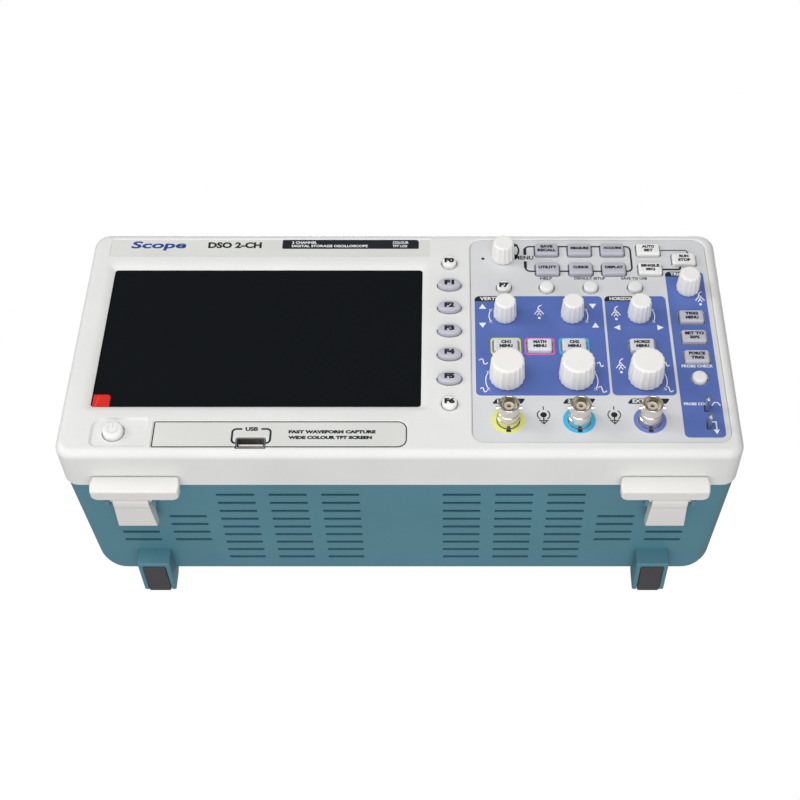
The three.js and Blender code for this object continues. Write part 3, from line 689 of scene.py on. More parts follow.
def stroke(points, width, face, layers=2, closed=False):
    """A printed line of even width through panel points."""
    count = len(points)
    left, right = [], []
    for i, (x, z) in enumerate(points):
        before = points[i - 1] if (i or closed) else points[i]
        after = points[(i + 1) % count] if (i + 1 < count or closed) else points[i]
        first, second = Vector((x, z)) - Vector(before), Vector(after) - Vector((x, z))
        first = first.normalized() if first.length else second.normalized()
        second = second.normalized() if second.length else first
        side = (first + second).normalized()
        reach = width / 2 / max(0.5, side.dot(second))
        normal = Vector((-side.y, side.x)) * reach
        left.append((x + normal.x, z + normal.y))
        right.append((x - normal.x, z - normal.y))
    steps = range(count if closed else count - 1)
    y0, y1 = face - INK * layers, face + 0.05
    rings = [[(lx, y0, lz), (rx, y0, rz), (rx, y1, rz), (lx, y1, lz)]
             for (lx, lz), (rx, rz) in zip(left, right)]
    faces = [(4 * i + a, 4 * i + (a + 1) % 4, 4 * ((i + 1) % count) + (a + 1) % 4, 4 * ((i + 1) % count) + a)
             for i in steps for a in range(4)]
    if not closed:
        faces += [(0, 1, 2, 3), tuple(4 * (count - 1) + a for a in (3, 2, 1, 0))]
    return skin("stroke", [p for ring in rings for p in ring], faces)


def arc(x, z, radius, start, end, steps=14):
    """Points along a circle's arc, with angles in degrees from the right, upwards."""
    turns = [math.radians(start + (end - start) * i / steps) for i in range(steps + 1)]
    return [(x + radius * math.cos(t), z + radius * math.sin(t)) for t in turns]


def arrowhead(tip, heading, size, face, layers=2):
    """A small filled triangle that points along heading, in degrees."""
    corners = []
    for turn, reach in ((0, 0), (180 - 28, size), (180 + 28, size)):
        a = math.radians(heading + turn)
        corners.append((tip[0] + reach * math.cos(a), tip[1] + reach * math.sin(a)))
    return patch(corners, face, layers)


def lettering(words, x, z, cap, face, width=None, layers=2, slant=0.0, weight=0.026, align=0.5):
    """Printed words with their middle (or start, align 0) at x, z, and capitals cap mm high."""
    curve = bpy.data.curves.new("words", "FONT")
    curve.body, curve.size, curve.offset, curve.shear = words, 1.0, weight, slant
    curve.extrude, curve.resolution_u = 0.01, 3
    text = bpy.data.objects.new("words", curve)
    bpy.context.scene.collection.objects.link(text)
    graph = bpy.context.evaluated_depsgraph_get()
    mesh = bpy.data.meshes.new_from_object(text.evaluated_get(graph))
    drop(text)
    xs, ys = [v.co.x for v in mesh.vertices], [v.co.y for v in mesh.vertices]
    across, tall = max(xs) - min(xs), max(ys) - min(ys)
    scale_z = cap / tall
    scale_x = width / across if width else scale_z
    for v in mesh.vertices:
        px = x + (v.co.x - min(xs) - align * across) * scale_x
        pz = z + (v.co.y - min(ys) - tall / 2) * scale_z
        v.co = at(px, face + (0.03 if v.co.z < 0 else -INK * layers), pz)
    piece = bpy.data.objects.new("words", mesh)
    bpy.context.scene.collection.objects.link(piece)
    return piece


print("ink skin", INK, "mm")

# %% [markdown]
# ## Printed fields
#
# Three blue fields group the vertical, horizontal and trigger controls, with thin pale gaps between
# them. Each has a black header tab at its top left corner.

# %% Blue fields and header tabs
FIELDS = {"VERTICAL": (35.2, 97.8, 34.3, 96.0), "HORIZONTAL": (98.9, 128.9, 34.4, 96.0),
          "TRIGGER": (130.2, 149.1, 10.1, 112.3)}
FIELD_RADIUS = 2.4
blue_fields = [patch(rounded(*box, FIELD_RADIUS), PLATE_FACE, 1, plate_tools(5))
               for box in FIELDS.values()]
fit(gather("blue_fields", blue_fields), blue_ink, "case")
TAB_HEIGHT = 3.3
tab_ends = {"VERTICAL": 54.2, "HORIZONTAL": 119.6, "TRIGGER": 146.0}
header_tabs, header_words = [], []
for title, (x0, x1, z0, z1) in FIELDS.items():
    end = tab_ends[title]
    tab_outline = rounded(x0, end, z1 - TAB_HEIGHT, z1, [0.3, FIELD_RADIUS, 0.2, 1.2])
    header_tabs.append(patch(tab_outline, PLATE_FACE, 2))
    header_words.append(lettering(title, x0 + 2.6, z1 - TAB_HEIGHT / 2, 2.1, PLATE_FACE,
                                  width=end - x0 - 4.6, layers=3, weight=0.03, align=0))
fit(gather("header_tabs", header_tabs), dark_ink, "case")
print("fields:", list(FIELDS))

# %% [markdown]
# ## Marks on the blue fields
#
# White marks say what each knob does: triangles for the way a trace moves, arcs with arrowheads for
# the way a knob turns, small and large waves for the scale, and a push mark.

# %% Marks beside the knobs
def triangle(x, z, up=True):
    size = 1.75
    s = 1 if up else -1
    return patch([(x - size, z - s * size * 0.8), (x + size, z - s * size * 0.8), (x, z + s * size)],
                 PLATE_FACE, 2)


def side_triangle(x, z, right=True):
    size = 1.7
    s = 1 if right else -1
    return patch([(x - s * size * 0.8, z + size), (x - s * size * 0.8, z - size), (x + s * size, z)],
                 PLATE_FACE, 2)


def turn_arc(x, z, radius, side):
    """An arc with an arrowhead at each end, left (-1) or right (1) of a knob."""
    spread = 38
    middle = 0 if side > 0 else 180
    line = arc(x, z, radius, middle - spread, middle + spread)
    heads = [arrowhead(line[0], middle - spread - 90, 1.9, PLATE_FACE),
             arrowhead(line[-1], middle + spread + 90, 1.9, PLATE_FACE)]
    return [stroke(line, 0.45, PLATE_FACE)] + heads


def wave(x, z, size, tilt=0.0):
    """One period of a sine wave, size millimetres long."""
    points = []
    for i in range(15):
        t = i / 14
        u, v = (t - 0.5) * size, math.sin(t * 2 * math.pi) * size * 0.3
        points.append((x + u * math.cos(tilt) - v * math.sin(tilt),
                       z + u * math.sin(tilt) + v * math.cos(tilt)))
    return [stroke(points, 0.5, PLATE_FACE)]


def push_mark(x, z):
    """An arrow onto a dot, for a knob that is also pressed."""
    lines = [stroke([(x - 2.2, z - 1.6), (x, z + 1.8), (x + 2.2, z - 1.6)], 0.5, PLATE_FACE),
             stroke([(x - 1.0, z - 2.4), (x, z - 0.6), (x + 1.0, z - 2.4)], 0.45, PLATE_FACE),
             stroke(arc(x + 1.8, z + 2.0, 2.2, 100, 190), 0.5, PLATE_FACE),
             stroke([(x - 1.0, z + 0.1), (x + 1.0, z + 0.1)], 0.4, PLATE_FACE)]
    return lines + [patch(oval(x, z - 4.0, 0.7, steps=16), PLATE_FACE, 2)]


place_of = {n: centre(n) for n in knob_names}
marks = []
for node, side in (("knob_position_1", -1), ("knob_position_2", 1), ("knob_position_horizontal", 1)):
    marks += turn_arc(*place_of[node], 7.7, side)
for node, side in (("knob_scale_1", -1), ("knob_scale_2", 1), ("knob_scale_horizontal", 1)):
    x, z = place_of[node]
    marks += turn_arc(x, z - 2.0, 10.0, side)
marks += [triangle(39.0, 89.2), triangle(38.9, 77.4, up=False)]
marks += [triangle(92.9, 89.6, up=False), triangle(93.5, 77.2)]
marks += [side_triangle(104.0, 75.8, right=False), side_triangle(124.7, 75.8)]
for x, z, size in ((38.9, 54.7, 4.4), (38.8, 37.7, 3.4), (94.3, 52.9, 3.4), (94.2, 37.9, 4.6),
                   (125.6, 53.0, 3.0), (125.6, 38.0, 4.0)):
    marks += wave(x, z, size, -0.35)
marks += push_mark(66.5, 85.9) + push_mark(103.9, 85.2) + push_mark(145.8, 94.7)
marks += push_mark(103.9, 52.2)
print("marks:", len(marks))

# %% Probe marks and white lettering
marks.append(stroke([(142.2, 19.0), (145.2, 19.0), (145.2, 14.4)], 0.6, PLATE_FACE))
marks.append(arrowhead((145.0, 12.0), -90, 3.0, PLATE_FACE))
marks.append(stroke([(144.4, 28.4), (145.6, 30.2), (147.2, 30.2), (148.3, 28.4)], 0.5, PLATE_FACE))
marks.append(lettering("PROBE CHECK", 140.1, 51.9, 1.7, PLATE_FACE, width=14.8, weight=0.02))
marks.append(lettering("PROBE COMP", 137.6, 29.4, 1.6, PLATE_FACE, width=12.2))
fit(gather("white_marks", marks + header_words), white_ink, "case")
print("white print done")

# %% [markdown]
# ## Print round the menu keys
#
# A black bracket frames the six menu keys and is broken by the word MENU. Short black lines tie the
# automatic and single keys to the run key, and small legends stand over the round keys.

# %% Menu bracket and black lettering
BRACKET = (60.9, 114.1, 112.6, 129.4)
BRACKET_WIDTH = 0.9
x0, x1, z0, z1 = BRACKET
bracket_break = 2.6
menu_z = 121.5
bend = 2.4
upper = [(x0, menu_z + bracket_break), *arc(x0 + bend, z1 - bend, bend, 180, 90, 6),
         *arc(x1 - bend, z1 - bend, bend, 90, 0, 6), (x1, (z0 + z1) / 2)]
lower = [(x0, menu_z - bracket_break), *arc(x0 + bend, z0 + bend, bend, 180, 270, 6),
         *arc(x1 - bend, z0 + bend, bend, 270, 360, 6), (x1, (z0 + z1) / 2)]
black_print = [stroke(upper, BRACKET_WIDTH, PLATE_FACE, 1), stroke(lower, BRACKET_WIDTH, PLATE_FACE, 1)]
for z in (menu_z + 4.4, menu_z - 4.4):
    black_print.append(patch(rounded(*about(x0, z, 0.75, 2.2), 0.3, 3), PLATE_FACE, 2))
auto_x, auto_z = centre("key_auto_set")
run_x, run_z = centre("key_run_stop")
single_z = centre("key_single")[1]
KEY_SIDE = auto_x + 6.4
auto_tie = [(KEY_SIDE, auto_z + 0.4), *arc(run_x + 1.2, auto_z - 0.8, 1.2, 90, 0, 4),
            (run_x + 2.4, run_z + 4.3)]
single_tie = [(KEY_SIDE, single_z + 0.4), *arc(run_x - 3.4, single_z + 1.6, 1.2, 270, 360, 6),
              (run_x - 2.2, run_z - 4.2)]
black_print += [stroke(auto_tie, 0.6, PLATE_FACE, 1), stroke(single_tie, 1.1, PLATE_FACE, 1)]
multi_x, multi_z = centre("knob_multi_purpose")
turn = arc(multi_x + 1.6, multi_z + 4.6, 6.4, 38, -38)
black_print.append(stroke(turn, 0.9, PLATE_FACE, 1))
black_print.append(arrowhead((turn[0][0] - 1.2, turn[0][1] + 1.2), 125, 2.8, PLATE_FACE, 1))
black_print.append(arrowhead((turn[-1][0] - 1.2, turn[-1][1] - 1.2), 235, 2.8, PLATE_FACE, 1))
black_print.append(patch(oval(39.7, 121.1, 0.8, steps=16), PLATE_FACE, 1))
for words, x, z, cap, width in (("MENU", 60.4, menu_z + 0.3, 2.6, 9.4), ("HELP", 70.9, 107.8, 1.7, 6.0),
                                ("DEFAULT SETUP", 92.6, 107.8, 1.7, 15.4),
                                ("SAVE TO USB", 114.6, 107.8, 1.7, 13.0)):
    black_print.append(lettering(words, x, z, cap, PLATE_FACE, width=width, layers=1, weight=0.03))
print("black print pieces:", len(black_print))

# %% [markdown]
# ## Print round the sockets
#
# Each socket sits in a flat coloured ring that matches its trace on the screen, with a small key
# mark at the bottom and a dark slanted label behind it. Between the sockets stand plain targets
# with an earth stroke below them.

# %% Socket rings, labels and targets
ring_inks = {"bnc_channel_1": yellow_ink, "bnc_channel_2": cyan_ink, "bnc_ext_trigger": violet_ink}
RING_OUTER = 7.6
for node, ink in ring_inks.items():
    x, z = centre(node)
    ring_piece = patch(oval(x, z, RING_OUTER), PLATE_FACE, 2,
                       [slab("socket", oval(x, z, 5.6), -1, 5)])
    fit(ring_piece, ink, "case")
    ring_piece.name = node.replace("bnc", "ring")
    black_print.append(patch(rounded(x - 1.1, x + 1.1, z - 6.9, z - 5.5, 0.3), PLATE_FACE, 3))
label_words = []
for node, words, left, right in (("bnc_channel_1", "1", -6.0, 7.6), ("bnc_channel_2", "2", -6.0, 7.6),
                                 ("bnc_ext_trigger", "EXT", -8.4, 9.6)):
    x, z = centre(node)
    low, high = z + 9.4, z + 12.4
    outline = [(x + left - 1.0, low + 0.5), (x + left - 0.6, low), (x + right - 1.6, low),
               (x + right - 0.9, low + 0.4), (x + right + 0.4, high - 0.5), (x + right, high),
               (x + left + 1.2, high), (x + left + 0.5, high - 0.4)]
    black_print.append(patch(outline, PLATE_FACE, 2))
    label_words.append(lettering(words, x + left + 1.2, (low + high) / 2, 2.0, PLATE_FACE, layers=3,
                                 width=5.6 if len(words) > 1 else None, weight=0.03, align=0))
fit(gather("socket_lettering", label_words), white_ink, "case")
for x in ((centre("bnc_channel_1")[0] + centre("bnc_channel_2")[0]) / 2,
          (centre("bnc_channel_2")[0] + centre("bnc_ext_trigger")[0]) / 2):
    z = SOCKET_ROW + 3.0
    black_print.append(patch(oval(x, z, 1.5, steps=24), PLATE_FACE, 1))
    for start in (-55, 125):
        black_print.append(stroke(arc(x, z, 2.9, start, start + 110), 0.5, PLATE_FACE, 1))
    black_print.append(stroke([(x, z + 2.9), (x, z + 4.9)], 0.5, PLATE_FACE, 1))
    black_print.append(stroke([(x, z - 1.0), (x, z - 5.0)], 0.5, PLATE_FACE, 1))
    black_print.append(stroke([(x - 2.2, z - 3.2), (x + 2.2, z - 3.2)], 0.5, PLATE_FACE, 1))
    black_print.append(stroke([(x - 1.5, z - 3.6), (x, z - 5.2), (x + 1.5, z - 3.6)], 0.5, PLATE_FACE, 1))
fit(gather("black_print", black_print), dark_ink, "case")
print("rings:", len(ring_inks))

# %% [markdown]
# ## Coloured outlines of the channel keys
#
# The two channel keys and the maths key are ringed in their trace's colour, so that a hand finds
# the right one. The outline is a printed frame with the key's own hole through it.

# %% Channel key outlines
outline_inks = {"key_channel_1": yellow_ink, "key_math": magenta_ink, "key_channel_2": cyan_ink}
OUTLINE_HALVES = (7.3, 5.3)
for node, ink in outline_inks.items():
    x, z = centre(node)
    frame_piece = patch(rounded(*about(x, z, *OUTLINE_HALVES), 2.0), PLATE_FACE, 2,
                        [hole(node, PLATE_FACE, 5)])
    frame_piece.name = node.replace("key", "outline")
    fit(frame_piece, ink, "case")
print("outlines:", list(outline_inks))

# %% [markdown]
# ## Keys
#
# A key is a cap with soft edges and a slightly crowned face, a flange behind the wall that keeps it
# from falling out, and a stem that reaches the switch. One list of insets shapes the cap's edge.

# %% Key bodies
KEY_PROUD = 2.0
KEY_BACK = 4.6
STEM_END = 8.9
CAP_EDGE = [(2.6, 0.0), (1.5, 0.02), (0.9, 0.07), (0.5, 0.2), (0.22, 0.42), (0.06, 0.72), (0.0, 1.1)]


def key_body(node, front, wall_back):
    """The cap with its flange and stem, as one closed piece."""
    levels = [(front + depth, key_outline(node, -inset)) for inset, depth in CAP_EDGE]
    levels += [(wall_back + 0.3, key_outline(node, 0)), (wall_back + 0.3, key_outline(node, 0.95)),
               (KEY_BACK, key_outline(node, 0.95))]
    x, z = centre(node)
    cap = stepped(node + "_cap", levels)
    stem = slab("stem", rounded(*about(x, z, 1.5, 1.5), 0.3, steps=2), KEY_BACK - 0.6, STEM_END)
    return combine(cap, [stem], "UNION")


white_keys = round_plate_keys + ["key_auto_set", "key_single", "key_run_stop"] + round_bezel_keys
channel_keys = ["key_channel_1", "key_math", "key_channel_2", "key_horizontal"]
for node in bar_keys + round_plate_keys + oval_keys + round_bezel_keys + ["power_button"]:
    on_plate = node in bar_keys + round_plate_keys
    front = PLATE_FACE - KEY_PROUD if on_plate else -KEY_PROUD
    cap = key_body(node, front, PLATE_BACK if on_plate else WALL)
    white = node in white_keys or node == "power_button"
    finish = white_key_abs if white else pale_key_abs_and_relief_shade if node in channel_keys else grey_key_abs
    fit(cap, finish, node, [node])
print("keys made:", len(bar_keys + round_plate_keys + oval_keys + round_bezel_keys) + 1)

# %% [markdown]
# ## Key legends
#
# Legends are printed on the caps, so each one rides on its own key and sinks with it. Bar keys have
# one or two lines, and the function keys have their number.

# %% Legends on the caps
legends = {
    "key_save_recall": "SAVE/RECALL", "key_measure": "MEASURE", "key_acquire": "ACQUIRE",
    "key_utility": "UTILITY", "key_cursor": "CURSOR", "key_display": "DISPLAY",
    "key_auto_set": "AUTO/SET", "key_single": "SINGLE/SEQ", "key_run_stop": "RUN/STOP",
    "key_channel_1": "CH1/MENU", "key_math": "MATH/MENU", "key_channel_2": "CH2/MENU",
    "key_horizontal": "HORIZ/MENU", "key_trigger_menu": "TRIG/MENU", "key_set_half": "SET TO/50%",
    "key_force_trigger": "FORCE/TRIG", "key_f7": "F7",
}
legends.update({f"soft_key_f{i}": f"F{i}" for i in range(7)})
for node, words in legends.items():
    x, z = centre(node)
    face = (PLATE_FACE if node.startswith("key_") else 0) - KEY_PROUD
    if len(words) == 2:
        lines = [lettering(words, x, z + 0.2, 3.1, face, width=4.8, weight=0.07)]
    elif "/" in words:
        lines = [lettering(w, x, z + dz, 1.85, face, width=min(1.55 * len(w), 9.4), weight=0.062)
                 for w, dz in zip(words.split("/"), (1.3, -1.2))]
    else:
        lines = [lettering(words, x, z + 0.2, 1.85, face, width=1.3 * len(words), weight=0.062)]
    fit(gather(node + "_legend", lines), dark_ink, node)
print("legends:", len(legends))

# %% [markdown]
# The power key carries no ink: its symbol is a raised line, an open circle with a stroke through
# the gap. Its slightly greyer plastic is painted shade, standing for the shade of its low relief.

# %% Power symbol
power_face = -KEY_PROUD
symbol = [stroke(arc(power_x, power_z, 2.3, 125, 415, 24), 0.55, power_face, 5),
          stroke([(power_x, power_z + 0.4), (power_x, power_z + 3.0)], 0.55, power_face, 5)]
# The greyer plastic here is painted shade: it darkens the raised symbol the way its relief would be shaded.
fit(gather("power_symbol", symbol), pale_key_abs_and_relief_shade, "power_button")
print("power symbol raised by", INK * 5, "mm")

# %% [markdown]
# ## Knobs
#
# The knobs are turned shapes with shallow grip grooves, so a plain lathe isn't enough. Each ring of
# the loft has its radius cut back where a groove passes, and the grooves fade out under the
# rounded rim, as on a real moulded knob.

# %% Knob bodies
def knob_body(node, base, top, height, grooves):
    """A tapered knob with a soft rim, grip grooves and a shallow crowned face."""
    x, z = centre(node)
    front, back = -height, PLATE_FACE - 0.3
    rim = 1.1
    levels = [(0.3, front + 0.05, 0), (0.55, front + 0.02, 0), (0.78, front, 0.1)]
    levels = [(top * share, y, cut) for share, y, cut in levels]
    for i in range(6):
        a = math.pi / 2 * i / 5
        levels.append((top - rim * (1 - math.sin(a)), front + rim * (1 - math.cos(a)), 0.3 + 0.7 * i / 5))
    for i in range(1, 7):
        share = i / 6
        levels.append((top + (base - top) * share, front + rim + (back - 0.5 - front - rim) * share, 1))
    levels += [(base - 0.35, back, 0.6), (3.5, back, 0)]
    per_groove = 12
    count = grooves * per_groove
    rings = []
    for radius, y, cut in levels:
        ring = []
        for i in range(count):
            turn = 2 * math.pi * i / count
            groove = math.sqrt(math.cos(turn * grooves / 2) ** 2 + 0.02) - 0.14
            r = radius - 0.42 * cut * groove
            ring.append((x + r * math.cos(turn), y, z + r * math.sin(turn)))
        rings.append(ring)
    return loft(node + "_body", rings)


for node in knob_names:
    low, high = panel_box(node)
    base = (high.x - low.x) / 2
    height = -low.y
    body = knob_body(node, base, base - 0.6, height, 18 if base > 7 else 14)
    fit(body, knob_abs, node, [node], crease=60)
print("knobs:", len(knob_names))

# %% [markdown]
# ## Coaxial sockets
#
# A bayonet socket is a nickel-plated barrel with two lugs, a white insulator deep inside, and a gold
# contact in the middle. The profile of the barrel is turned, with a groove near its mouth and a
# washer at its foot.

# %% Sockets
BARREL = 4.83
BORE = 4.05
MOUTH = -12.0
for node in socket_names:
    x, z = centre(node)
    barrel = turned(node + "_barrel", [
        (BORE, MOUTH + 0.25), (BORE + 0.2, MOUTH), (BARREL - 0.25, MOUTH), (BARREL, MOUTH + 0.25),
        (BARREL, -7.0), (BARREL - 0.35, -6.8), (BARREL - 0.35, -6.2), (BARREL, -6.0), (BARREL, -2.9),
        (5.2, -2.6), (5.2, -1.6), (5.2, 3.4), (BORE, 3.4), (BORE, -4.4), (BORE, MOUTH + 0.25)], x, z)
    lug_outline = oval(MOUTH + 3.4, z, 0.95, steps=20)
    lugs = [loft("lug", [[(x + s * reach, across, up) for across, up in lug_outline]
                         for reach in (4.3, 5.7, 5.9)]) for s in (-1, 1)]
    base = slab("base", oval(x, z, BORE + 0.3), -4.4, 3.0)
    block_piece = slab("block", rounded(*about(x, z, 6.2, 6.2), 0.6), PLATE_BACK + 0.3, 17.4)
    combine(barrel, lugs + [base, block_piece], "UNION")
    fit(barrel, nickel, "case", [node])
    insulator = turned(node + "_insulator", [
        (0, MOUTH + 3.4), (1.0, MOUTH + 3.4), (1.0, MOUTH + 1.7), (1.3, MOUTH + 1.5), (2.15, MOUTH + 1.5),
        (2.4, MOUTH + 1.8), (2.4, -4.0), (0, -4.0)], x, z, 32)
    fit(insulator, ptfe, "case")
    contact = turned(node + "_contact", [
        (0, MOUTH + 2.9), (0.35, MOUTH + 2.9), (0.35, MOUTH + 2.3), (0.75, MOUTH + 2.2),
        (0.85, MOUTH + 2.4), (0.85, MOUTH + 3.6), (0, MOUTH + 3.6)], x, z, 24)
    fit(contact, gold, "case")
print("sockets:", socket_names)

# %% [markdown]
# ## Front port and probe tabs
#
# The USB port is a folded steel can with a white contact carrier low in its mouth. The two probe
# tabs are stamped strips with a hole, standing one above the other through slots in the plate.

# %% Front USB port
can = stepped("usb_can", [(0.3, rounded(*grown(usb_box, -0.12), 0.5)), (0.45, rounded(*usb_box, 0.6)),
                          (13, rounded(*usb_box, 0.6))])
combine(can, [stepped("mouth", [(-0.5, rounded(*grown(usb_box, -0.2), 0.5)),
                                (0.7, rounded(*grown(usb_box, -0.45), 0.4)),
                                (11.5, rounded(*grown(usb_box, -0.45), 0.4))])])
fit(can, steel_sheet, "case", ["usb_host_port"])
port_x, port_z = centre("usb_host_port")
tongue = slab("usb_tongue", rounded(port_x - 5.6, port_x + 5.6, port_z - 1.9, port_z + 0.1, 0.2, 3), 1.6, 12)
soften(tongue, 0.2, 2)
fit(tongue, tongue_plastic, "case")
contacts = [slab("contact", rounded(*about(port_x + dx, port_z + 0.125, 0.5, 0.075), 0.05, 2), 2.2, 10)
            for dx in (-3.5, -1.0, 1.0, 3.5)]
fit(gather("usb_contacts", contacts), gold, "case")
print("port", [round(v, 1) for v in usb_box])

# %% Probe tabs
probe_low, probe_high = panel_box("probe_terminals")
tabs = []
for z in PROBE_ROWS:
    blade_outline = rounded(-8.0, 6.0, z - 1.9, z + 1.9, [0.2, 1.2, 1.2, 0.2], 5)
    blade = sideways("blade", blade_outline, probe_x - 0.6, probe_x + 0.6)
    eye = sideways("eye", oval(-5.6, z, 0.9, steps=24), probe_x - 2, probe_x + 2)
    tabs.append(soften(combine(blade, [eye]), 0.12, 2))
fit(gather("probe_tabs", tabs), steel_sheet, "case", ["probe_terminals"])
base_outline = rounded(probe_x - 3, probe_x + 3, probe_low.z, probe_high.z, 0.6)
tab_base = slab("probe_base", base_outline, 5, probe_high.y)
fit(soften(tab_base, 0.3, 2), black_abs, "case")
print("probe tabs at z", PROBE_ROWS)

# %% [markdown]
# ## Name strip and label strip
#
# Above the screen a grey film carries the maker's word and the instrument's class in plain generic
# words. Below the screen a second film has a dark outline and breaks for the USB port, round which
# a thin bracket is printed.

# %% Name strip
STRIP_FACE = 0.3
name_strip = patch(rounded(*grown(NAME_STRIP, -0.25), 0.8), STRIP_FACE, 1)
fit(name_strip, strip_film, "case")
strip_top = STRIP_FACE - INK
maker_word = lettering("Scope", -124.1, 129.6, 6.3, strip_top, width=27.7, slant=0.12, weight=0.03)
fit(gather("maker_word", [maker_word]), royal_ink, "case")
strip_black = [lettering("DSO 2-CH", -85.6, 130.1, 4.1, strip_top, width=27.0, weight=0.045),
               patch(rounded(-61.6, 7.4, 127.6, 133.8, [1.6, 0.6, 0.6, 0.6]), strip_top, 1)]
fit(gather("class_word", strip_black), dark_ink, "case")
strip_white = [lettering(words, x, z, 1.6, strip_top, width=width, layers=3, weight=0.03, align=0)
               for words, x, z, width in (("2 CHANNEL", -56.8, 131.9, 12.6),
                                          ("DIGITAL STORAGE OSCILLOSCOPE", -56.8, 129.5, 38.4),
                                          ("COLOUR", -5.8, 131.9, 8.0), ("TFT LCD", -5.8, 129.5, 7.4))]
fit(gather("class_lines", strip_white), white_ink, "case")
print("name strip", NAME_STRIP)

# %% Label strip
LABEL_FACE = 0.4
label_film = patch(rounded(*grown(LABEL, -0.3), [4.3, 0.6, 0.6, 4.3]), LABEL_FACE, 1)
label_cut = slab("cut", rounded(*grown(usb_box, 1.0), 0.9), -1, 3)
fit(combine(label_film, [label_cut]), strip_film, "case")
label_top = LABEL_FACE - INK
label_edge = rounded(*grown(LABEL, -0.55), [4.1, 0.5, 0.5, 4.1])
label_lines = [stroke(label_edge, 0.55, label_top, 1, closed=True)]
BRACKET_HALF, BRACKET_TOP, BRACKET_LOW, BRACKET_TURN = 8.75, 14.8, 6.9, 1.8
for side in (-1, 1):
    turn_x = port_x + side * (BRACKET_HALF - BRACKET_TURN)
    line = [(turn_x - side * 2.6, BRACKET_TOP)]
    line += [(turn_x + side * BRACKET_TURN * math.sin(a), BRACKET_TOP - BRACKET_TURN * (1 - math.cos(a)))
             for a in quarter_turn(5)]
    line += [(turn_x + side * BRACKET_TURN * math.cos(a), BRACKET_LOW + BRACKET_TURN * (1 - math.sin(a)))
             for a in quarter_turn(5)]
    label_lines.append(stroke(line, 0.95, label_top, 1))
label_lines.append(lettering("USB", port_x, BRACKET_TOP, 2.2, label_top, width=5.8, layers=1, weight=0.05))
for words, z, width in (("FAST WAVEFORM CAPTURE", 13.2, 39.8), ("WIDE COLOUR TFT SCREEN", 10.0, 38.2)):
    label_lines.append(lettering(words, -50.8, z, 1.9, label_top, width=width, layers=1, weight=0.07,
                                 align=0))
fit(gather("label_print", label_lines), dark_ink, "case")
print("label strip", LABEL)

# %% [markdown]
# ## Rear shell
#
# The teal shell is the deep half of the case. Its sides draw in a little towards the back so that it
# leaves its mould, and the rear corners are rounder in plan than in height. The same section
# function gives the outer skin and, with an inset, the space inside.

# %% Shell body
shell_low, shell_high = panel_box("rear_shell")
SHELL_FRONT = shell_low.y
SHELL_BACK = 103.0
SHELL_BOTTOM = 0.8
SHELL_TOP = shell_high.z
FRONT_HALF = HALF_WIDTH - 0.6
REAR_HALF = 152.3
PLAN_RADIUS = 13.0
EDGE_RADIUS = 6.0


def shell_ring(depth, inset, y=None):
    """The shell's outline at a depth, inset for the inside, placed at y when that differs."""
    half = FRONT_HALF + (REAR_HALF - FRONT_HALF) * (depth - SHELL_FRONT) / (SHELL_BACK - SHELL_FRONT)

    def turn_in(radius):
        past = max(0.0, depth - (SHELL_BACK - radius))
        return radius - math.sqrt(max(0.0, radius ** 2 - past ** 2))

    side, edge_in = inset + turn_in(PLAN_RADIUS), inset + turn_in(EDGE_RADIUS)
    outline = rounded(side - half, half - side, SHELL_BOTTOM + edge_in, SHELL_TOP - edge_in,
                      max(CORNER - inset, 2), steps=10)
    return depth if y is None else y, outline


def shell_inside(wall):
    """The space inside the shell, for a given wall."""
    return stepped("inside", [shell_ring(min(y + WALL, SHELL_BACK - 0.4), wall, y)
                              for y in (SHELL_FRONT - 1, 90, 96, SHELL_BACK - WALL)])


turn_depths = [SHELL_BACK - PLAN_RADIUS * (1 - math.sin(a)) for a in quarter_turn(14)]
shell = stepped("shell", [shell_ring(SHELL_FRONT, 0.5), shell_ring(SHELL_FRONT + 0.5, 0)]
                + [shell_ring(d, 0) for d in turn_depths])
POCKET = (-70, 70, 33, 93)
PIVOT_Y = 40.0
PIVOT_Z = SHELL_TOP - 5
POCKET_FLOOR = SHELL_TOP - 10
pocket_walls = upright("pocket_walls", [(z, rounded(*grown(POCKET, WALL), 5))
                                        for z in (POCKET_FLOOR - WALL, SHELL_TOP + 10)])
cavity = combine(shell_inside(WALL), [pocket_walls])
combine(shell, [cavity])
pocket = upright("pocket", [(POCKET_FLOOR, rounded(*grown(POCKET, -1.0), 3)),
                            (POCKET_FLOOR + 0.3, rounded(*grown(POCKET, -0.3), 3.4)),
                            (POCKET_FLOOR + 1, rounded(*POCKET, 3.6)),
                            (SHELL_TOP - 0.5, rounded(*POCKET, 3.6)),
                            (SHELL_TOP + 0.5, rounded(*grown(POCKET, 1), 4.6))])
combine(shell, [pocket])
print("shell", round(SHELL_TOP - SHELL_BOTTOM, 1), "mm high")

# %% [markdown]
# ## Vents and rear openings
#
# Air comes in through rows of slots in the floor and leaves through the round grille in front of
# the fan. Each slot is cut with rounded ends and a hair of flare at its mouth, as a mould's insert
# leaves it.

# %% Floor vents
VENT_WIDTH, VENT_GAP = 17.9, 2.05
VENT_COLUMNS = [(28.6, 33.7, 9), (53.3, 33.7, 9), (78.0, 33.7, 9), (102.7, 52.2, 4), (127.4, 59.1, 3)]
VENT_PITCH = 6.93
slots = []
for side in (-1, 1):
    for column_x, start, count in VENT_COLUMNS:
        for row in range(count):
            box = about(side * column_x, start + row * VENT_PITCH, VENT_WIDTH / 2, VENT_GAP / 2)
            slots.append(upright("slot", [(SHELL_BOTTOM - 0.6, rounded(*grown(box, 0.66), 0.9, 3)),
                                          (SHELL_BOTTOM + 0.06, rounded(*box, 0.6, 3)),
                                          (5, rounded(*box, 0.6, 3))]))
combine(shell, [gather("slots", slots)])
print("vent slots:", 2 * sum(count for _, _, count in VENT_COLUMNS))

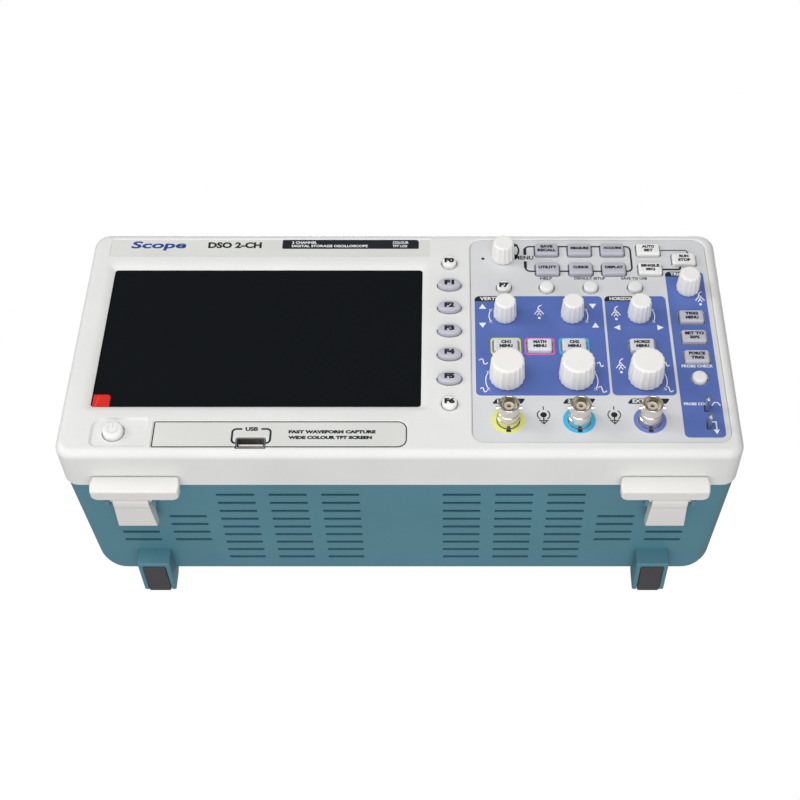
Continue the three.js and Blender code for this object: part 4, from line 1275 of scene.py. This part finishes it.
# %% Rear openings
FAN_X, FAN_Z = centre("fan_rotor")
THROUGH_BACK = (SHELL_BACK - 6, SHELL_BACK + 2)
GRILLE_RADIUS = 27
BAR_PITCH = 6
rear_cuts = []
for i in range(-4, 5):
    reach = math.sqrt(GRILLE_RADIUS ** 2 - (BAR_PITCH * i) ** 2)
    outline = rounded(*about(FAN_X, FAN_Z + BAR_PITCH * i, reach, 1.3), 1.2, 4)
    rear_cuts.append(slab("grille", outline, *THROUGH_BACK))
INLET = about(-104, 36, 14.1, 10.1)
REAR_PORT = about(20, 34, 6.4, 5.8)
REAR_SOCKET = (44, 34, 5.3)
for name, outline in (("inlet_hole", rounded(*INLET, 2)), ("port_hole", rounded(*REAR_PORT, 1)),
                      ("socket_hole", oval(*REAR_SOCKET))):
    rear_cuts.append(slab(name, outline, *THROUGH_BACK))
combine(shell, [gather("rear_cuts", rear_cuts)])
print("rear openings:", len(rear_cuts))

# %% [markdown]
# ## Rear foot blocks and leg ears
#
# The blocks carry the rubber pads and are drawn down from the shell's floor with a long sloping
# back. The ears beside each tilt leg hold its pins. Both are welded into the shell's skin, after
# their own edges have been rounded.

# %% Foot blocks and ears
STAND = -panel_box("rear_pad_left")[0].z
pad_low, pad_high = panel_box("rear_pad_right")
PAD_X = (pad_low.x + pad_high.x) / 2
LEG_X = centre("tilt_leg_right")[0]
LEG_WIDTH = 18.5
LEG_AXIS = (28.2, -5.2)
BLOCK_WIDTH = 15.9
EAR_GAP, EAR_WIDTH = 0.6, 2


def pin_tool(radius, x0, x1, y, z):
    """A round pin along x, which also serves to cut its own bore."""
    return sideways("pin", oval(y, z, radius, steps=24), x0, x1)


for side in (-1, 1):
    x = side * PAD_X
    block_piece = sideways("block", [(81, 3), (82.2, 0.6 - STAND), (106, 0.6 - STAND), (107, 1 - STAND),
                                     (107, 2), (102, 12), (91, 3)], x - BLOCK_WIDTH / 2, x + BLOCK_WIDTH / 2)
    soften(block_piece, 0.7, 4)
    seat_box = (x - 5.8, x + 5.8, pad_low.y - 0.3, 109)
    seat = upright("seat", [(z, rounded(*seat_box, 1.2)) for z in (-STAND - 1, 2.4 - STAND)])
    combine(block_piece, [seat])
    combine(block_piece, [shell_inside(WALL - 0.2)])
    ears = []
    for ear_side in (-1, 1):
        a = side * LEG_X + ear_side * (LEG_WIDTH / 2 + EAR_GAP)
        b = a + ear_side * EAR_WIDTH
        ear = sideways("ear", [(25, 1.6), (25, -4), (26.4, -8), (30.4, -8), (33, 1.6)], min(a, b), max(a, b))
        ears.append(combine(soften(ear, 0.4, 3), [pin_tool(1.5, min(a, b) - 1, max(a, b) + 1, *LEG_AXIS)]))
    combine(shell, [block_piece] + ears, "UNION")
fit(shell, teal_abs, "case", ["rear_shell"])
print("shell faces:", len(shell.data.polygons))

# %% [markdown]
# ## Feet, tilt legs and pads
#
# The front foot bars are white mouldings whose front face leans back a little towards the base.
# Behind each one a leg is hinged on two small pins: a plate with a narrow waist between the ears
# and a shallow well on its hidden side. The rear pads are rubber, pressed into the blocks.

# %% Front foot bars
for node in ("front_foot_left", "front_foot_right"):
    low, high = panel_box(node)
    levels = []
    for z, end_in, front_in, back_in in ((high.z, 1.2, 0.4, 0), (-1.0, 0.6, 0, 0), (-5, 0, 0.5, 0),
                                         (low.z + 0.9, 0.3, 1.1, 0), (low.z + 0.35, 0.6, 1.3, 0.1),
                                         (low.z + 0.08, 1.0, 1.6, 0.3), (low.z, 1.5, 2.1, 0.7)):
        levels.append((z, rounded(low.x + end_in, high.x - end_in, low.y + front_in, high.y - back_in,
                                  [2.6, 2.6, 1.0, 1.0], 6)))
    fit(upright(node + "_bar", levels), foot_abs, "case", [node])
print("foot bars from", round(low.x, 1), "to", round(high.x, 1))

# %% Tilt legs
LEG_END = 49.5
for node in ("tilt_leg_left", "tilt_leg_right"):
    low, high = panel_box(node)
    x = (low.x + high.x) / 2
    half = LEG_WIDTH / 2
    y, z = LEG_AXIS
    side_outline = [*arc(y, z, 3, 90, 270, 12), (LEG_END - 1.5, -7.2), (LEG_END, -6),
                    (LEG_END, -2.8), (LEG_END - 8, -1.6)]
    leg = sideways(node + "_plate", side_outline, x - half, x + half)
    trims = []
    for side in (-1, 1):
        waist = [(x + side * reach, depth) for reach, depth in (
            (half - 0.9, y - 4), (half - 0.9, y + 3.6), (half, LEG_END), (half + 4, LEG_END + 2),
            (half + 4, y - 4))]
        trims.append(upright("waist", [(-10, waist), (0, waist)]))
    leg = soften(combine(leg, trims), 0.4, 3)
    well = upright("well", [(-4.2, rounded(x - 6.4, x + 6.4, 34, 45.5, 1.2)),
                            (1, rounded(x - 6.6, x + 6.6, 33.8, 45.7, 1.2))])
    hinge_line = slab("line", rounded(x - half - 1, x + half + 1, -9, -7.6, 0.1, 1), y + 2.9, y + 3.3)
    combine(leg, [well, hinge_line])
    combine(leg, [pin_tool(1.2, low.x, high.x, *LEG_AXIS)], "UNION")
    fit(leg, foot_abs, node, [node])
print("leg width", LEG_WIDTH)

# %% Rear pads
for node in ("rear_pad_left", "rear_pad_right"):
    low, high = panel_box(node)
    box = (low.x, high.x, low.y, high.y)
    pad = upright(node + "_rubber", [(high.z, rounded(*box, 1.0)), (low.z + 0.5, rounded(*box, 1.0)),
                                     (low.z + 0.12, rounded(*grown(box, -0.2), 0.9)),
                                     (low.z, rounded(*grown(box, -0.6), 0.7))])
    fit(pad, rubber, "case", [node])
print("pads", round(high.y - low.y, 1), "mm long")

# %% [markdown]
# ## Carry handle
#
# The handle is a flat bow that folds into the pocket on top: two arms, a broad grip, and a pin at
# each end. Its edges are rounded generously where the hand closes round it.

# %% Handle
handle_low, handle_high = panel_box("carry_handle")
ARM_LOW, ARM_HIGH = SHELL_TOP - 8.6, SHELL_TOP - 1.2
bow_outer = rounded(-68, 68, PIVOT_Y - 3.6, 91, [7, 7, 3, 3], 8)
bow = upright("handle_bow", [(ARM_LOW, bow_outer), (ARM_HIGH, bow_outer)])
combine(bow, [upright("bow_gap", [(z, rounded(-56, 56, PIVOT_Y - 10, 76, [4, 4, 0.5, 0.5], 8))
                                  for z in (ARM_LOW - 1, ARM_HIGH + 1)])])
soften(bow, 1.8, 5)
pins = [pin_tool(2, *ends, PIVOT_Y, PIVOT_Z) for ends in ((handle_low.x, -65), (65, handle_high.x))]
combine(bow, pins, "UNION")
fit(bow, teal_abs, "carry_handle", ["carry_handle"])
print("grip", round(ARM_HIGH - ARM_LOW, 1), "mm thick")

# %% [markdown]
# ## Rear inlet, port and socket rims
#
# The mains inlet is a black nylon shroud with three flat blades, earth above the other two. The
# rear USB port and trigger output show as a steel rim and a nickel barrel. The CAD parts behind
# them already have the right shape, so they keep their own meshes and get finishes by region.

# %% Finishes for the inner parts
def finish_regions(node, default, regions=()):
    """Keeps a CAD part's own mesh, and gives each face the finish of the first box it lies in."""
    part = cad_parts[node]
    part.data.materials.clear()
    for finish in [default] + [finish for finish, _ in regions]:
        part.data.materials.append(finish)
    for face in part.data.polygons:
        spot = (part.matrix_world @ face.center - PANEL_ORIGIN) / MM
        for number, (_, (x0, x1, y0, y1, z0, z1)) in enumerate(regions, 1):
            if x0 <= spot.x <= x1 and y0 <= spot.y <= y1 and z0 <= spot.z <= z1:
                face.material_index = number
                break
    return part


ALL = 200.0
finish_regions("lcd_module", steel_sheet, [(black_abs, (-101, -59, 10.31, 13, 29, 37))])
finish_regions("key_board", solder_mask,
               [(steel_sheet, (-ALL, ALL, -20, 3.39, -ALL, ALL)),
                (black_abs, (-ALL, ALL, 3.3, 9.99, -ALL, ALL))])
finish_regions("main_board", solder_mask,
               [(steel_sheet, (33, 131, 17, 29.9, 8, 63)), (black_abs, (-61, 37, 26, 29.9, 69, 99))])
finish_regions("power_supply", black_abs,
               [(solder_mask, (-143, -21, 73.99, 75.61, 11, 119)),
                (copper_varnish, (-85, -47, 45.9, 73.9, 59, 93)),
                (steel_sheet, (-79, -53, 43.9, 46.1, 65, 87)),
                (aluminium, (-133, -117, 39.9, 73.9, 65, 111)),
                (sleeve, (-119, -89, 47.9, 73.9, 23, 37)),
                (steel_sheet, (-113, -95, 87, 98.41, 30, 43))])
finish_regions("fan_frame", black_abs)
finish_regions("fan_rotor", black_abs)
finish_regions("rear_io_board", solder_mask,
               [(tongue_plastic, (17, 23, 92.9, 101.01, 32.3, 35.7)),
                (steel_sheet, (13, 27, 84.9, 104, 28, 40)),
                (ptfe, (41.5, 46.5, 96, 105.01, 31.5, 36.5)),
                (nickel, (38, 50, 84.9, 107, 28, 40))])
print("inner parts finished")

# %% [markdown]
# ## Case screws
#
# Four screws in the rear face hold the shell to the bezel. Each one is a pan head with a cross
# recess, pressed 0.2 mm into the plastic.

# %% Screws
def cross_screw(name, x, z, face):
    """A pan-head screw that looks out of the rear face."""
    head = turned(name, [(0, face + 1.5), (1.2, face + 1.45), (2.2, face + 1.1), (2.8, face + 0.5),
                         (2.9, face - 0.1), (0, face - 0.1)], x, z, 32)
    arms = [slab("arm", rounded(*about(x, z, a, b), 0.15, 2), face + 0.5, face + 3)
            for a, b in ((1.7, 0.32), (0.32, 1.7))]
    return combine(head, [combine(arms[0], [arms[1]], "UNION")])


screws = [cross_screw("screw", x, z, SHELL_BACK) for x in (-128, 128) for z in (22, 112)]
fit(gather("case_screws", screws), steel_sheet, "case")
print("screws:", len(screws))

# %% [markdown]
# ## Floor and studio light
#
# The instrument stands on a plain white floor. The camera is below the bench's height, so the floor
# is a sheet that shows from above only, and it doesn't shade the underside. A lamp on the left
# models the knobs and the screen's frame, and two broad ones fill the front and the underside. The
# fourth hangs above and behind, and lights the floor, the top and the back.

# %% Floor
floor_mesh = bpy.data.meshes.new("floor")
floor_mesh.from_pydata([(-3, -3, 0), (3, -3, 0), (3, 3, 0), (-3, 3, 0)], [], [(0, 1, 2, 3)])
floor = bpy.data.objects.new("floor", floor_mesh)
bpy.context.scene.collection.objects.link(floor)
floor_paint, tree, shader, _ = start_finish("white_studio_floor", Roughness=0.7)
shader.inputs["Base Color"].default_value = linear("F4F4F4")
side_seen = add(tree, "NewGeometry").outputs["Backfacing"]
clear = add(tree, "BsdfTransparent")
both = add(tree, "MixShader", {0: side_seen, 1: shader.outputs["BSDF"], 2: clear.outputs["BSDF"]})
tree.links.new(both.outputs["Shader"], tree.nodes["Material Output"].inputs["Surface"])
floor_mesh.materials.append(floor_paint)
floor.visible_shadow = floor.visible_diffuse = floor.visible_glossy = False
print("floor 6 m square")

# %% World and lamps
scene = bpy.context.scene
scene.view_settings.view_transform = "Standard"
world = bpy.data.worlds.new("white_room")
scene.world = world
world.use_nodes = True
room = world.node_tree
LOW_ROOM, HIGH_ROOM = 0.36, 0.19
height = add(room, "SeparateXYZ", {"Vector": add(room, "TexCoord").outputs["Generated"]}).outputs["Z"]
walls = add(room, "MapRange", {"Value": height, "From Min": -0.1, "From Max": 0.7,
                               "To Min": LOW_ROOM, "To Max": HIGH_ROOM}).outputs["Result"]
seen = add(room, "LightPath").outputs["Is Camera Ray"]
strength = add(room, "MapRange", {"Value": seen, "To Min": walls, "To Max": 1.0})
backdrop = room.nodes["Background"]
backdrop.inputs["Color"].default_value = (1, 1, 1, 1)
room.links.new(strength.outputs["Result"], backdrop.inputs["Strength"])


def soft_lamp(name, place, aim, size, watts):
    """A square lamp that looks from a place to a point."""
    data = bpy.data.lights.new(name, "AREA")
    data.size, data.energy = size, watts
    lamp = bpy.data.objects.new(name, data)
    lamp.location = place
    lamp.rotation_euler = (Vector(aim) - Vector(place)).to_track_quat("-Z", "Y").to_euler()
    scene.collection.objects.link(lamp)
    return lamp


soft_lamp("key_lamp", (-1.15, -0.80, 0.25), (0.0, 0, 0.07), 0.45, 5.0)
soft_lamp("top_lamp", (0.3, 0.9, 1.5), (0.0, 0, 0.07), 1.2, 22.0)
soft_lamp("low_lamp", (-0.10, -0.90, -0.05), (0, 0, 0.04), 0.8, 4.0)
soft_lamp("under_lamp", (0.0, -0.35, -1.2), (0, 0.02, 0.0), 1.2, 8.6)
print("lamps:", len(bpy.data.lights))
